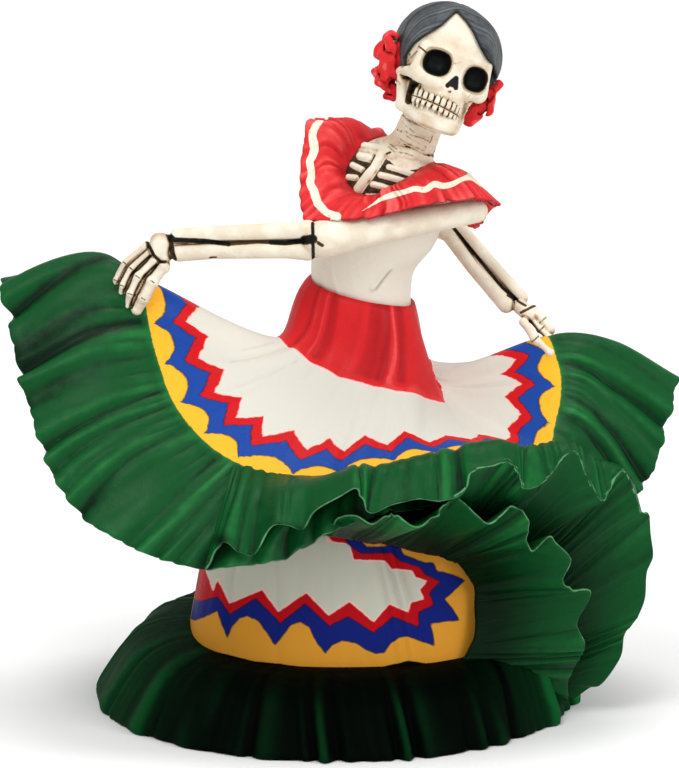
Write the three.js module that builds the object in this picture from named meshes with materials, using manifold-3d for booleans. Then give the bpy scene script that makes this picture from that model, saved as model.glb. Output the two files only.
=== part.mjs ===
// A skeleton dancer who holds out a ruffled skirt: a small figure cast in one piece and painted.
// Millimetres, +Z up. The origin is the middle of the flat underside, and the dancer faces -Y.
import * as THREE from 'three';
import { mergeVertices } from 'three/addons/utils/BufferGeometryUtils.js';
import Module from 'manifold-3d';

const wasm = await Module();
wasm.setup();

// Driving dimensions
const FIGURE_HEIGHT = 180;
const SKIRT_WALL = 2.8;
const HEM_WALL = 1.8;
const RUFFLE_WALL = 1.8;
const BASE_HEM_WALL = 2;
const FINGER_RADIUS = 1.15;
const RIB_RADIUS = 1.1;
const PLEAT_DEPTH = 2.6;
const OVERSKIRT_PLEATS = 40;
const BASE_PLEAT_DEPTH = 1.3;
const BASE_PLEATS = 34;
const RUFFLE_PLEAT_DEPTH = 0.9;
const RUFFLE_PLEATS = 15;
const HAIR_GROOVE = 0.35;

// The free form was drawn at this height. Every place and girth in it is a share of the height.
const DRAWN_HEIGHT = 180;
const SHARE = FIGURE_HEIGHT / DRAWN_HEIGHT;

// Rails are written as they look to someone who stands in front and looks down a little: how far across,
// how far up at right angles to the line of sight, and how deep behind the middle of the figure.
const LOOK_DOWN = THREE.MathUtils.degToRad(14);

function seen([across, up, depth]) {
  const height = (up - Math.sin(LOOK_DOWN) * depth) / Math.cos(LOOK_DOWN);
  return new THREE.Vector3(across, depth, height).multiplyScalar(SHARE);
}

function placed([x, y, z]) {
  return new THREE.Vector3(x, y, z).multiplyScalar(SHARE);
}

// Overskirt: waist, yoke edge, seam of the flounce, middle of the flounce and hem. Each rail starts at the left
// hand, runs in front to the right hand and comes home behind.
const YOKE_EDGE = [
  [-16.5, 89.5, 0], [-15.5, 89, -6], [-14, 87.5, -9], [-11, 86, -12], [-8, 83.5, -14.5],
  [-4.5, 82, -16], [-1, 80, -17], [4, 79, -18], [8, 78, -18], [13, 77.5, -18],
  [17, 77, -16], [21, 75.5, -12], [24, 74.5, -8], [24, 75, -5], [24, 76, -2],
  [24, 77, 1], [23.5, 78, 3], [23, 79.5, 5], [22.5, 81, 7],
].map(seen).concat([
  [21, 11, 84], [16, 15.5, 82.5], [8, 18, 82], [0, 18, 82.5], [-8, 16, 84.5], [-14, 9, 88.5],
].map(placed));

const FLOUNCE_SEAM = [
  [-49, 104, -8], [-49, 95, -16], [-46, 83, -24], [-42, 73, -30], [-34.5, 64, -35],
  [-26, 58.5, -38], [-16, 55.5, -40], [-6, 54, -41], [0.5, 55.5, -41], [8, 57, -41],
  [15.5, 59, -40], [22, 60, -38], [32, 61, -36], [40.5, 60.5, -33], [50.5, 61, -28],
  [53, 68.5, -20], [54.5, 76, -13], [54, 83, -6], [51, 90, 2],
].map(seen).concat([
  [46, 18, 82], [37, 31, 72], [22, 40, 66], [0, 43, 64], [-22, 38, 69], [-41, 21, 87],
].map(placed));

const FLOUNCE_MIDDLE = [
  [-66, 110, -3], [-67, 98.5, -16], [-64, 85, -26], [-60, 71, -34], [-53, 58.5, -42],
  [-44, 48.5, -47], [-31, 43.5, -51], [-19, 42, -52], [-8, 45, -50], [2, 50.5, -48],
  [13, 53, -44], [22, 55, -41], [30.5, 56, -38], [41, 55, -34], [52, 56, -28],
  [62, 61, -20], [66, 68.5, -14], [68, 77, -7], [67, 88.5, 1],
].map(seen).concat([
  [60, 20, 78], [48, 39, 65], [28, 50, 57], [0, 54, 55], [-30, 47, 60], [-55, 26, 82],
].map(placed));

const OVERSKIRT_HEM = [
  [-85, 105, -2], [-84, 95, -14], [-81, 83.5, -24], [-77, 70, -33], [-71, 54, -42],
  [-61, 43, -49], [-46, 35.5, -54], [-31, 33, -57], [-16, 35, -56], [-3, 42, -53],
  [10.5, 46.5, -48], [20.5, 48.5, -44], [30, 50, -40], [42, 50, -36], [54, 50, -30],
  [67, 50, -24], [76, 55, -17], [81, 68.5, -10], [83.5, 79, 0],
].map(seen).concat([
  [74, 22, 66], [57, 44, 52], [33, 57, 44], [0, 62, 42], [-35, 55, 47], [-66, 30, 74],
].map(placed));

// The waist is a small ring that leans with the body.
const WAIST_CENTRE = [4.5, 0, 105];
const WAIST_HALF_WIDTH = 12.3;
const WAIST_HALF_DEPTH = 10;
const WAIST_LEAN = 0.12;

// Lip: in front and on the right the overskirt's flounce rolls outwards. The hem's points are the crests and hollows
// of its folds.
const LIP_HEM = [
  [-34, 33, -58], [-30, 39.5, -60], [-26, 37.5, -61], [-22, 37, -61], [-18, 43.5, -61], [-14, 44, -61],
  [-10, 43, -61], [-7, 47.5, -60], [-1, 51, -60], [3, 53, -60], [5, 50, -59], [7, 47, -59],
  [12, 49, -58], [18.5, 50.5, -58], [23, 50, -58], [27, 50.5, -57], [30.5, 53, -56], [32, 57, -55],
  [37, 58.5, -53], [41, 59.5, -51], [43.5, 56.5, -50], [45, 53, -50], [49, 54, -48], [52, 57, -46],
  [55, 61, -44], [58, 61.5, -42], [60, 57, -40], [64, 50, -38], [66.5, 53, -35], [68, 56, -33],
  [70, 57, -31], [72, 53, -29], [74, 47, -27],
].map(seen);
const LIP_ROOT = [
  [-27, 59, -37], [-17, 56, -39.5], [-6, 55, -40.5], [8, 57, -40.5], [22, 60, -37.5], [37, 60, -33],
  [50.5, 60, -28], [60.5, 59, -23], [70.5, 55, -17],
].map(seen);
const LIP_RISE = [2, 3, 4, 5, 6, 6, 5.5, 4, 2];

// Side fold: under the lip the cloth swings to the right and runs down to the table. Its hem is the lip's hem from
// the middle of the figure on, and then its own.
const SIDE_FOLD_FROM = 15;
const SIDE_FOLD_HEM = LIP_HEM.slice(SIDE_FOLD_FROM).concat([
  [76, 46, -25], [76.5, 41, -23], [77, 35.5, -22], [75.5, 31.5, -21.5], [75, 25, -21], [73, 20, -20.5],
  [70, 16, -20], [69, 10.5, -19], [64.5, 4, -16], [61.5, 3, -14], [57.5, 0, -12],
].map(seen));
const SIDE_FOLD_ROOT = [
  [24, 48, -46], [32, 48, -41], [39, 46, -36], [45.5, 42, -32], [49, 37, -29], [52, 30, -27],
  [52.5, 22, -25], [52.5, 15, -22], [52, 7, -17], [50, 1, -11],
].map(seen);

// Curl: the underskirt's flounce. Its seam climbs the front of the underskirt on the right, and its hem stands up from
// the table and curls back over the seam.
const CURL_HEM = [
  [56, 0, -13], [56, 5, -18], [58, 9, -22], [60, 14, -26], [58, 19, -30], [61, 25, -33],
  [61, 27.5, -34], [57, 27.5, -36], [54.5, 30, -38], [56.5, 35, -39], [53, 39, -42], [51, 40.5, -43],
  [47, 37, -43], [45.5, 40, -44], [46, 45, -46.5], [42, 48, -48.5], [39, 46, -50], [36, 44, -51],
  [33, 46, -51], [28.5, 50, -52], [25, 48.5, -53], [23, 46, -54], [20, 44, -55], [17, 44, -55.5],
  [14, 46, -56], [11, 46, -56], [7, 44, -55.5], [3, 46, -55], [-1, 45.5, -54], [-3, 43, -52],
  [-7, 41, -48],
].map(seen);
const CURL_SEAM = [
  [27, 3, -32], [31, 12, -30], [33, 17, -29], [33, 23, -27], [33, 28.5, -27], [29.5, 34, -29],
  [26, 36, -31], [22, 37, -33], [17, 38, -34.5], [11.5, 39.5, -35.5], [5, 40.5, -36.5], [-1, 41.5, -36.5],
  [-7, 42, -36],
].map(seen);

// Underskirt and base
const BASE_RADIUS_LEFT = 61.5;
const BASE_RADIUS_RIGHT = 58;
const BASE_RADIUS_DEEP = 64;
const BASE_SEAM_HEIGHT = 17.5;
const BASE_SEAM_RISE_BEHIND = 5;
const COLUMN_LEVELS = [
  { height: 4, left: 38, right: 44, deep: 37 },
  { height: 18, left: 37.5, right: 43.5, deep: 36 },
  { height: 34, left: 34.5, right: 42, deep: 34 },
  { height: 50, left: 31, right: 36, deep: 31 },
  { height: 62, left: 22, right: 24, deep: 22 },
  { height: 80, left: 13, right: 17, deep: 12 },
  { height: 102, left: 5, right: 13, deep: 8 },
];
const COLUMN_MIDDLE = -1;
const COLUMN_SQUARENESS = 2.5;

// Body, as rings up the spine: middle across, depth, height, half width and half depth
const BODY_SIDES = 16;
const BODY_RINGS = [
  [4, 0.5, 98, 13, 10.6], [4.5, 0, 105, 12.4, 10], [5, -0.5, 111, 13, 10.4], [7.5, -1, 117, 15, 11.2],
  [9, -1.5, 124, 16, 12], [10.8, -2, 131, 14.5, 12], [11.6, -2, 137, 12.2, 11.5], [14.2, -2, 141.5, 9, 9.5],
  [16.6, -1.5, 145.5, 6, 6],
];

// Ruffle round the shoulders: neckline and hem, from the left shoulder in front and home behind
const NECKLINE = [
  [0.6, 130.6, -4], [1.8, 127.6, -8], [4.4, 125.6, -11], [8.6, 125.4, -13], [12.6, 127.6, -14], [16.4, 129.7, -13],
  [19.8, 132, -10.5], [22, 133.3, -6.5], [23, 133.2, -2], [23, 133.2, 3], [20, 134.5, 7.5], [16, 137, 10],
  [12, 139.2, 10], [8.4, 139.8, 8], [5.2, 138.6, 4], [2.2, 134.8, 0],
].map(seen);
const RUFFLE_HEM = [
  [-10.5, 129, -7], [-9.7, 120.3, -13], [-4, 119.5, -18], [3, 120, -21], [10.5, 121, -22], [18, 122.9, -21.5],
  [25, 123.9, -20], [32, 124.6, -16], [38.3, 124, -8], [36, 129.4, 3], [31, 131.5, 11], [23, 131, 18],
  [14, 130, 20], [3, 137, 18], [-3, 143, 14], [-8.5, 144, 5],
].map(seen);
// How far the ruffle rises between the two, highest behind the left side of the neck
const RUFFLE_RISE = [2.2, 1.5, 1.5, 1.5, 1.5, 2, 2.2, 2.2, 2, 2, 2.2, 2.6, 3.4, 4.6, 5.4, 4];

// Bones
const NECK_PATH = [[16, -1.5, 139.5], [18.65, -2, 146], [21.5, -3, 153.5], [24, -4, 161]].map(placed);
const NECK_RADIUS = 5.6;
const NECK_RINGS = 5;
const STERNUM = [[9.8, 138, -11.4], [7, 132, -13.4], [4, 126.4, -13.6]].map(seen);
const RIB_ROWS = 3;

const NEAR_UPPER_ARM = [[33, 122, -9], [20, 119.5, -14.5], [6, 117, -17.5], [-7.5, 114.8, -18]].map(seen);
const NEAR_UPPER_GIRTH = [3.1, 3.5, 4.2, 4.9];
const NEAR_FOREARM_TOP = [[-5, 116.8, -18], [-24, 116.9, -17.4], [-44, 115.2, -15.8]].map(seen);
const NEAR_FOREARM_LOW = [[-5, 112.8, -18.4], [-24, 112.6, -18], [-44, 112.2, -16.4]].map(seen);
const FAR_UPPER_ARM = [[-1, 132, 6], [12, 124, 15], [26, 118, 19]].map(seen);
const FAR_FOREARM_OUTER = [[29.2, 118.2, 18.5], [37.5, 108.5, 15], [44.5, 100, 10.5]].map(seen);
const FAR_FOREARM_INNER = [[25.8, 116.6, 18.5], [32.5, 108, 14.6], [41.5, 98, 9.5]].map(seen);

const NEAR_WRIST = [[-42.6, 113.8, -16], [-47.4, 112, -15.5]].map(seen);
const NEAR_FINGERS = [
  [[-48.2, 114, -14.5], [-54.8, 109.3, -13.5], [-57, 105, -13.5], [-57.3, 101, -12.5]],
  [[-48, 112, -15.5], [-53.3, 107.3, -15.5], [-55.5, 103.6, -15.5], [-55.3, 99.8, -14.5]],
  [[-46.7, 110, -16.3], [-51.5, 105.5, -16.8], [-53.4, 101.3, -16.8], [-54.2, 98.2, -15.8]],
  [[-45, 108.3, -16.8], [-48.5, 103.5, -17.6], [-50.3, 100.4, -17.6], [-52.5, 97.5, -16.8]],
].map((finger) => finger.map(seen));
const FAR_WRIST = [[44.5, 98.5, 9], [46.5, 96, 7]].map(seen);
const FAR_FINGERS = [
  [[47.5, 97.5, 8], [50, 94.5, 5.5], [52, 92, 3.5]],
  [[46.8, 95.5, 7], [49.5, 92.5, 4.5], [51.5, 90.3, 2]],
  [[45, 94.5, 5], [47.5, 90.5, 1], [52, 86, -3.5]],
].map((finger) => finger.map(seen));

// Head. Its own frame has the face towards -Y and the middle of the skull at its origin.
const HEAD_MIDDLE = [24.8, -4, 164.6];
const HEAD_TURN = THREE.MathUtils.degToRad(16);
const HEAD_NOD = THREE.MathUtils.degToRad(-16);
const HEAD_TILT = THREE.MathUtils.degToRad(18.5);

// Closed meshes from rings of points

function geometryFrom(points, faces) {
  const positions = new Float32Array(points.length * 3);
  points.forEach((p, i) => positions.set([p.x, p.y, p.z], i * 3));
  const geometry = new THREE.BufferGeometry();
  geometry.setAttribute('position', new THREE.BufferAttribute(positions, 3));
  geometry.setIndex(faces.flat());
  return geometry;
}

function solid(geometry) {
  const bare = geometry.clone();
  bare.deleteAttribute('normal');
  bare.deleteAttribute('uv');
  const merged = mergeVertices(bare, 1e-4);
  return new wasm.Manifold(new wasm.Mesh({
    numProp: 3,
    vertProperties: new Float32Array(merged.attributes.position.array),
    triVerts: new Uint32Array(merged.index.array),
  }));
}

// A stack of rings with a cap at each end. Rings turn anticlockwise as seen from the last ring's side.
function stack(rings) {
  const count = rings[0].length;
  const points = rings.flat();
  const faces = [];
  for (let r = 0; r < rings.length - 1; r += 1) {
    for (let i = 0; i < count; i += 1) {
      const a = r * count + i;
      const b = r * count + (i + 1) % count;
      faces.push([a, b, b + count], [a, b + count, a + count]);
    }
  }
  const middleOf = (ring) => ring.reduce((sum, p) => sum.add(p), new THREE.Vector3()).divideScalar(count);
  const first = points.push(middleOf(rings[0])) - 1;
  const last = points.push(middleOf(rings[rings.length - 1])) - 1;
  const top = (rings.length - 1) * count;
  for (let i = 0; i < count; i += 1) {
    const next = (i + 1) % count;
    faces.push([first, next, i], [last, top + i, top + next]);
  }
  return solid(geometryFrom(points, faces));
}

// A limb along a smooth path, with a girth at each of the path's own points.
function limb(path, girths, { sides = 8, steps = 6, flat = 1 } = {}) {
  const curve = new THREE.CatmullRomCurve3(path, false, 'catmullrom', 0.5);
  const frames = curve.computeFrenetFrames(steps, false);
  const rings = [];
  for (let s = 0; s <= steps; s += 1) {
    const along = s / steps;
    const girth = SHARE * between(girths, along);
    const middle = curve.getPointAt(along);
    const ring = [];
    for (let i = 0; i < sides; i += 1) {
      const angle = 2 * Math.PI * i / sides;
      ring.push(middle.clone()
        .addScaledVector(frames.normals[s], Math.cos(angle) * girth)
        .addScaledVector(frames.binormals[s], Math.sin(angle) * girth * flat));
    }
    rings.push(ring);
  }
  return stack(rings);
}

function between(values, along) {
  const place = along * (values.length - 1);
  const low = Math.min(Math.floor(place), values.length - 2);
  return THREE.MathUtils.lerp(values[low], values[low + 1], place - low);
}

// A cast sheet of cloth: a row of points on each rail, from its inner edge to its outer edge, and pleats that lift it
// along its normal. Its columns stand at even steps of the outer rail, or at the rails' own points.
function sheet({ rails, closed, atPoints = false, across, wall, pleat }) {
  const curves = rails.map((rail) => new THREE.CatmullRomCurve3(rail, closed, 'catmullrom', 0.5));
  const columns = closed ? across : across + 1;
  const along = rails.length - 1;
  const outer = curves[along];
  const ways = Array.from({ length: columns }, (_, i) => i / across)
    .map((share) => (atPoints ? share : outer.getUtoTmapping(share)));
  const middle = curves.map((curve) => ways.map((way) => curve.getPoint(way)));
  const at = (i, j) => middle[THREE.MathUtils.clamp(j, 0, along)][closed
    ? (i + columns) % columns
    : THREE.MathUtils.clamp(i, 0, columns - 1)];
  const upper = [];
  const lower = [];
  for (let j = 0; j <= along; j += 1) {
    for (let i = 0; i < columns; i += 1) {
      const run = at(i + 1, j).clone().sub(at(i - 1, j));
      const fall = at(i, j + 1).clone().sub(at(i, j - 1));
      const normal = fall.cross(run).normalize();
      const lift = pleat(i / across, j / along);
      const half = wall(j / along) / 2;
      upper.push(at(i, j).clone().addScaledVector(normal, lift + half));
      lower.push(at(i, j).clone().addScaledVector(normal, lift - half));
    }
  }
  const points = upper.concat(lower);
  const under = upper.length;
  const faces = [];
  const last = closed ? columns : columns - 1;
  const quad = (a, b, c, d) => faces.push([a, b, c], [a, c, d]);
  for (let i = 0; i < last; i += 1) {
    const next = (i + 1) % columns;
    for (let j = 0; j < along; j += 1) {
      const a = j * columns + i;
      const b = j * columns + next;
      quad(a, a + columns, b + columns, b);
      quad(under + a, under + b, under + b + columns, under + a + columns);
    }
    const edge = along * columns;
    quad(i, next, under + next, under + i);
    quad(edge + next, edge + i, under + edge + i, under + edge + next);
  }
  if (!closed) {
    for (let j = 0; j < along; j += 1) {
      const a = j * columns;
      const b = a + columns - 1;
      quad(a + columns, a, under + a, under + a + columns);
      quad(b, b + columns, under + b + columns, under + b);
    }
  }
  return solid(geometryFrom(points, faces));
}

// Pleats are waves of uneven height.
function wave(u, count) {
  const height = 0.78 + 0.22 * Math.sin(2 * Math.PI * (5 * u + 0.3));
  return height * Math.cos(2 * Math.PI * count * u);
}

function inset(outer, inner, share) {
  return outer.map((point, i) => point.clone().lerp(inner[i], share));
}

// Overskirt

function waistRing() {
  const centre = new THREE.Vector3(...WAIST_CENTRE);
  return YOKE_EDGE.map((point) => {
    const angle = Math.atan2(point.y / SHARE - centre.y, point.x / SHARE - centre.x);
    const x = Math.cos(angle) * WAIST_HALF_WIDTH;
    const y = Math.sin(angle) * WAIST_HALF_DEPTH;
    return placed([centre.x + x, centre.y + y, centre.z - WAIST_LEAN * x]);
  });
}

function overskirt() {
  const seamShare = 0.5;
  return sheet({
    rails: [waistRing(), YOKE_EDGE, FLOUNCE_SEAM, FLOUNCE_MIDDLE, OVERSKIRT_HEM],
    closed: true,
    across: OVERSKIRT_PLEATS * 2,
    wall: (v) => THREE.MathUtils.lerp(SKIRT_WALL, HEM_WALL, Math.max(v - seamShare, 0) / (1 - seamShare)),
    pleat: (u, v) => PLEAT_DEPTH * Math.max(v - seamShare, 0) / (1 - seamShare) * wave(u, OVERSKIRT_PLEATS),
  });
}

// Lip, side fold and curl: sheets whose hem has drawn folds. Each hem point hangs from the root at the same share of
// the way, measured along the hem with its folds smoothed out.

function smoothed(points) {
  return points.map((_, i) => {
    const near = points.slice(Math.max(i - 2, 0), i + 3);
    return near.reduce((sum, p) => sum.add(p), new THREE.Vector3()).divideScalar(near.length);
  });
}

function sharesAlong(points) {
  const lengths = [0];
  for (let i = 1; i < points.length; i += 1) {
    lengths.push(lengths[i - 1] + points[i].distanceTo(points[i - 1]));
  }
  return lengths.map((length) => length / lengths[lengths.length - 1]);
}

function foldedSheet(root, hem, rise) {
  const steady = smoothed(hem);
  const shares = sharesAlong(steady);
  const rootCurve = new THREE.CatmullRomCurve3(root, false, 'catmullrom', 0.5);
  const roots = shares.map((share) => rootCurve.getPointAt(share));
  const middle = hem.map((point, i) => {
    const out = steady[i].clone().lerp(point, 0.5);
    const lift = SHARE * between(rise, shares[i]);
    return roots[i].clone().lerp(out, 0.5).add(new THREE.Vector3(0, -lift / 3, lift));
  });
  return sheet({
    rails: [roots, middle, hem],
    closed: false,
    atPoints: true,
    across: hem.length - 1,
    wall: (v) => THREE.MathUtils.lerp(SKIRT_WALL, HEM_WALL, v),
    pleat: () => 0,
  });
}

function lip() {
  return foldedSheet(LIP_ROOT, LIP_HEM, LIP_RISE);
}

function sideFold() {
  return foldedSheet(SIDE_FOLD_ROOT, SIDE_FOLD_HEM, [0, 0]);
}

function curl() {
  return foldedSheet(CURL_SEAM, CURL_HEM, [0, 0]);
}

// Underskirt: a column of soft square section that carries the overskirt, and a pleated skirt base round its foot.

// How far a soft square section reaches in a direction, where a circle reaches 1.
function softSquare(cos, sin, squareness) {
  return (Math.abs(cos) ** squareness + Math.abs(sin) ** squareness) ** (-1 / squareness);
}

function columnRing({ height, left, right, deep }, sides) {
  const ring = [];
  for (let i = 0; i < sides; i += 1) {
    const angle = 2 * Math.PI * i / sides;
    const cos = Math.cos(angle);
    const sin = Math.sin(angle);
    const reach = softSquare(cos, sin, COLUMN_SQUARENESS);
    ring.push(placed([COLUMN_MIDDLE + cos * reach * (cos < 0 ? left : right), sin * reach * deep, height]));
  }
  return ring;
}

function column() {
  return stack(COLUMN_LEVELS.map((level) => columnRing(level, 22)));
}

function base() {
  const sides = BASE_PLEATS * 2;
  // How far out each level of the bell lies, from the column at 0 to the hem at 1, and its share of the seam's height.
  const bell = [[1.01, 0.1], [0.87, 0.38], [0.66, 0.72], [0.3, 0.95], [-0.1, 1]];
  const foot = columnRing(COLUMN_LEVELS[1], sides);
  const ringAt = (out, heightAt) => foot.map((inner, i) => {
    const angle = 2 * Math.PI * i / sides;
    const radius = Math.cos(angle) < 0 ? BASE_RADIUS_LEFT : BASE_RADIUS_RIGHT;
    const hem = placed([Math.cos(angle) * radius, Math.sin(angle) * BASE_RADIUS_DEEP, 0]);
    const lift = BASE_PLEAT_DEPTH * Math.max(out, 0) * wave(i / sides, BASE_PLEATS);
    const point = inner.clone().setZ(0).lerp(hem, out);
    return point.addScaledVector(point.clone().normalize(), lift).setZ(heightAt(angle, lift));
  });
  const seamHeight = (angle) => SHARE * (BASE_SEAM_HEIGHT + BASE_SEAM_RISE_BEHIND * (1 + Math.sin(angle)) / 2);
  const sole = ringAt(1, () => 0);
  const hem = ringAt(1, () => BASE_HEM_WALL);
  return stack([sole, hem, ...bell.slice(1).map(([out, share]) => ringAt(out,
    (angle, lift) => share * seamHeight(angle) + 0.6 * lift))]);
}

// Body, shoulders and arms

function body() {
  return stack(BODY_RINGS.map(([x, y, z, halfWidth, halfDepth]) => {
    const ring = [];
    for (let i = 0; i < BODY_SIDES; i += 1) {
      const angle = 2 * Math.PI * i / BODY_SIDES;
      ring.push(placed([x + Math.cos(angle) * halfWidth, y + Math.sin(angle) * halfDepth, z]));
    }
    return ring;
  }));
}

function shoulderRuffle() {
  const ridge = inset(NECKLINE, RUFFLE_HEM, 0.5).map((p, i) => p.clone().setZ(p.z + RUFFLE_RISE[i] * SHARE));
  return sheet({
    rails: [NECKLINE, ridge, RUFFLE_HEM],
    closed: true,
    across: RUFFLE_PLEATS * 2,
    wall: () => RUFFLE_WALL,
    pleat: (u, v) => RUFFLE_PLEAT_DEPTH * v * wave(u, RUFFLE_PLEATS),
  });
}

function neck() {
  const girths = [];
  for (let ring = 0; ring < NECK_RINGS; ring += 1) {
    girths.push(NECK_RADIUS, NECK_RADIUS * 0.88);
  }
  return limb(NECK_PATH, girths, { sides: 8, steps: girths.length - 1 });
}

function ribs() {
  let cage = limb(STERNUM, [1.5, 1.3, 1.2], { sides: 5, steps: 3 });
  for (let row = 0; row < RIB_ROWS; row += 1) {
    const root = STERNUM[0].clone().lerp(STERNUM[2], 0.28 + 0.3 * row);
    const right = [[0, 0, 0], [5, 0.4, -1], [9.5, 2.4, -2.4]];
    const left = [[0, 0, 0], [-2.8, 1, 0.6], [-5.4, 3.4, 1]];
    for (const side of [right, left]) {
      const path = side.map((step) => root.clone().add(placed(step)));
      cage = cage.add(limb(path, [RIB_RADIUS / SHARE, RIB_RADIUS / SHARE], { sides: 5, steps: 3 }));
    }
  }
  return cage;
}

function hand(wrist, fingers, wristGirth) {
  let bones = limb(wrist, wristGirth, { sides: 7, steps: 2, flat: 0.75 });
  const knuckle = FINGER_RADIUS / SHARE;
  for (const finger of fingers) {
    bones = bones.add(limb(finger, [knuckle, 0.85 * knuckle, 1.1 * knuckle, 0.9 * knuckle, 0.8 * knuckle],
      { sides: 5, steps: 4 }));
  }
  return bones;
}

function arms() {
  return limb(NEAR_UPPER_ARM, NEAR_UPPER_GIRTH, { sides: 9, steps: 4 })
    .add(limb(NEAR_FOREARM_TOP, [2.5, 2.1, 1.9], { sides: 7, steps: 3 }))
    .add(limb(NEAR_FOREARM_LOW, [2.6, 2.1, 2.4], { sides: 7, steps: 3 }))
    .add(limb(FAR_UPPER_ARM, [3.2, 3.4, 3.6], { sides: 8, steps: 3 }))
    .add(limb(FAR_FOREARM_OUTER, [1.8, 1.5, 1.6], { sides: 7, steps: 3 }))
    .add(limb(FAR_FOREARM_INNER, [2.2, 1.7, 2.2], { sides: 7, steps: 3 }))
    .add(hand(NEAR_WRIST, NEAR_FINGERS, [2.6, 3.4, 2.6]))
    .add(hand(FAR_WRIST, FAR_FINGERS, [2.2, 2.6, 2]));
}

// Head

function ball([x, y, z], [rx, ry, rz], across = 16, up = 10, shape = () => 1) {
  const geometry = new THREE.SphereGeometry(1, across, up);
  geometry.deleteAttribute('normal');
  geometry.deleteAttribute('uv');
  const merged = mergeVertices(geometry, 1e-4);
  const place = merged.attributes.position;
  const point = new THREE.Vector3();
  for (let i = 0; i < place.count; i += 1) {
    point.fromBufferAttribute(place, i);
    const swell = shape(point);
    place.setXYZ(i, x + point.x * rx * swell, y - point.z * ry * swell, z + point.y * rz * swell);
  }
  merged.scale(SHARE, SHARE, SHARE);
  return solid(merged);
}

function bar(from, to, girth) {
  const middle = from.map((value, i) => (value + to[i]) / 2);
  return limb([from, middle, to].map(placed), girth, { sides: 6, steps: 2 });
}

// The face as rings from the brow down: height, half width, how far forward and how far back.
const FACE_RINGS = [
  [6, 8, 9, 4], [2.5, 9.8, 12, 4], [-1, 9.6, 12.2, 4], [-4.2, 9.9, 12.6, 4], [-6.6, 7.6, 13.6, 2],
  [-10.4, 6.4, 14, -1], [-13, 5.8, 13.6, -3], [-15.6, 4.8, 13.4, -5], [-17, 3, 12.2, -7],
];
const FACE_SIDES = 12;
const FACE_SQUARENESS = 2.5;

function face() {
  return stack(FACE_RINGS.toReversed().map(([height, halfWidth, front, back]) => {
    const ring = [];
    for (let i = 0; i < FACE_SIDES; i += 1) {
      const angle = 2 * Math.PI * i / FACE_SIDES;
      const cos = Math.cos(angle);
      const sin = Math.sin(angle);
      const reach = softSquare(cos, sin, FACE_SQUARENESS);
      ring.push(placed([cos * reach * halfWidth, (back - front) / 2 + sin * reach * (front + back) / 2, height]));
    }
    return ring;
  }));
}

function skull() {
  let bone = ball([0, 2, 2.9], [12, 14.2, 12.2], 14, 9).add(face());
  for (const side of [-1, 1]) {
    bone = bone
      .add(bar([side * 9, -8.6, -4], [side * 11.4, 0, -2.6], [1.7, 1.3, 1.3]))
      .add(bar([side * 10.2, -0.5, -2.5], [side * 9.2, -2.5, -12], [1.9, 2, 2.1]))
      .add(bar([side * 9.2, -2.5, -12], [side * 3.4, -11, -15.2], [2.1, 2.2, 2.4]))
      .subtract(ball([side * 5.2, -13.2, -0.8], [3.7, 4.4, 3.5], 9, 5));
  }
  return bone.subtract(ball([0, -14.6, -5.4], [1.6, 2.6, 2.2], 6, 4));
}

function hair() {
  const strands = (point) => 1 + HAIR_GROOVE / 13 * Math.cos(9 * Math.atan2(point.y, Math.abs(point.x) + 0.35));
  const cap = ball([0, 2.2, 3.2], [13.2, 15.4, 12.8], 20, 10, strands);
  const forehead = new THREE.Shape([
    [0, 14.4], [-3.8, 10.7], [-8.2, 5.2], [-11.6, 0], [-13, -4], [-13, -30],
    [13, -30], [13, -4], [11.6, 0], [8.2, 5.2], [3.8, 10.7],
  ].map(([x, z]) => new THREE.Vector2(x * SHARE, z * SHARE)));
  const cutter = new THREE.ExtrudeGeometry(forehead, { depth: 28 * SHARE, bevelEnabled: false });
  cutter.rotateX(Math.PI / 2);
  cutter.translate(0, 0.5 * SHARE, 0);
  const below = new THREE.BoxGeometry(40 * SHARE, 40 * SHARE, 20 * SHARE);
  below.translate(0, 0, -15.5 * SHARE);
  const bun = ball([0, 16.5, -0.5], [6.4, 5, 6.2], 12, 6,
    (point) => 1 + HAIR_GROOVE / 12 * Math.cos(6 * Math.atan2(point.y, point.x)));
  return cap.subtract(solid(cutter)).subtract(solid(below)).add(bun);
}

function rose([x, y, z], size) {
  const petals = (point) => 1 + 0.13 * Math.sin(5 * Math.atan2(point.y, point.z) + 4 * point.x);
  return ball([x, y, z], [0.62 * size, size, size], 9, 6, petals);
}

function head() {
  const whole = skull()
    .add(hair())
    .add(rose([-14.8, 2.2, 0.8], 3.9))
    .add(rose([-13.4, 2, -4.9], 4.3))
    .add(rose([-10.9, 1.5, -9.9], 3.6))
    .add(rose([15, 1.5, -2.8], 3.9))
    .add(rose([13.4, 0.8, -7.8], 4.3));
  const turn = new THREE.Matrix4().makeRotationY(HEAD_TILT)
    .multiply(new THREE.Matrix4().makeRotationX(HEAD_NOD))
    .multiply(new THREE.Matrix4().makeRotationZ(HEAD_TURN));
  turn.setPosition(placed(HEAD_MIDDLE));
  return whole.transform(turn.elements);
}

// The whole figure, cut level with the table

function figure() {
  const reach = 2 * FIGURE_HEIGHT;
  const table = new THREE.BoxGeometry(reach, reach, reach);
  table.translate(0, 0, -reach / 2);
  const dress = [overskirt(), lip(), sideFold(), curl(), column(), base(), body(), shoulderRuffle()];
  const whole = [...dress, neck(), ribs(), arms(), head()]
    .reduce((sum, piece) => sum.add(piece))
    .subtract(solid(table));
  const mesh = whole.getMesh();
  const geometry = new THREE.BufferGeometry();
  geometry.setAttribute('position', new THREE.BufferAttribute(mesh.vertProperties, 3));
  geometry.setIndex(new THREE.BufferAttribute(mesh.triVerts, 1));
  return geometry;
}

const paintedResin = new THREE.MeshStandardMaterial({ color: 0x1f6b38, roughness: 0.45, metalness: 0 });
const dancer = new THREE.Mesh(figure(), paintedResin);
dancer.name = 'dancer_figure';

const part = new THREE.Group();
part.add(dancer);

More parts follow.
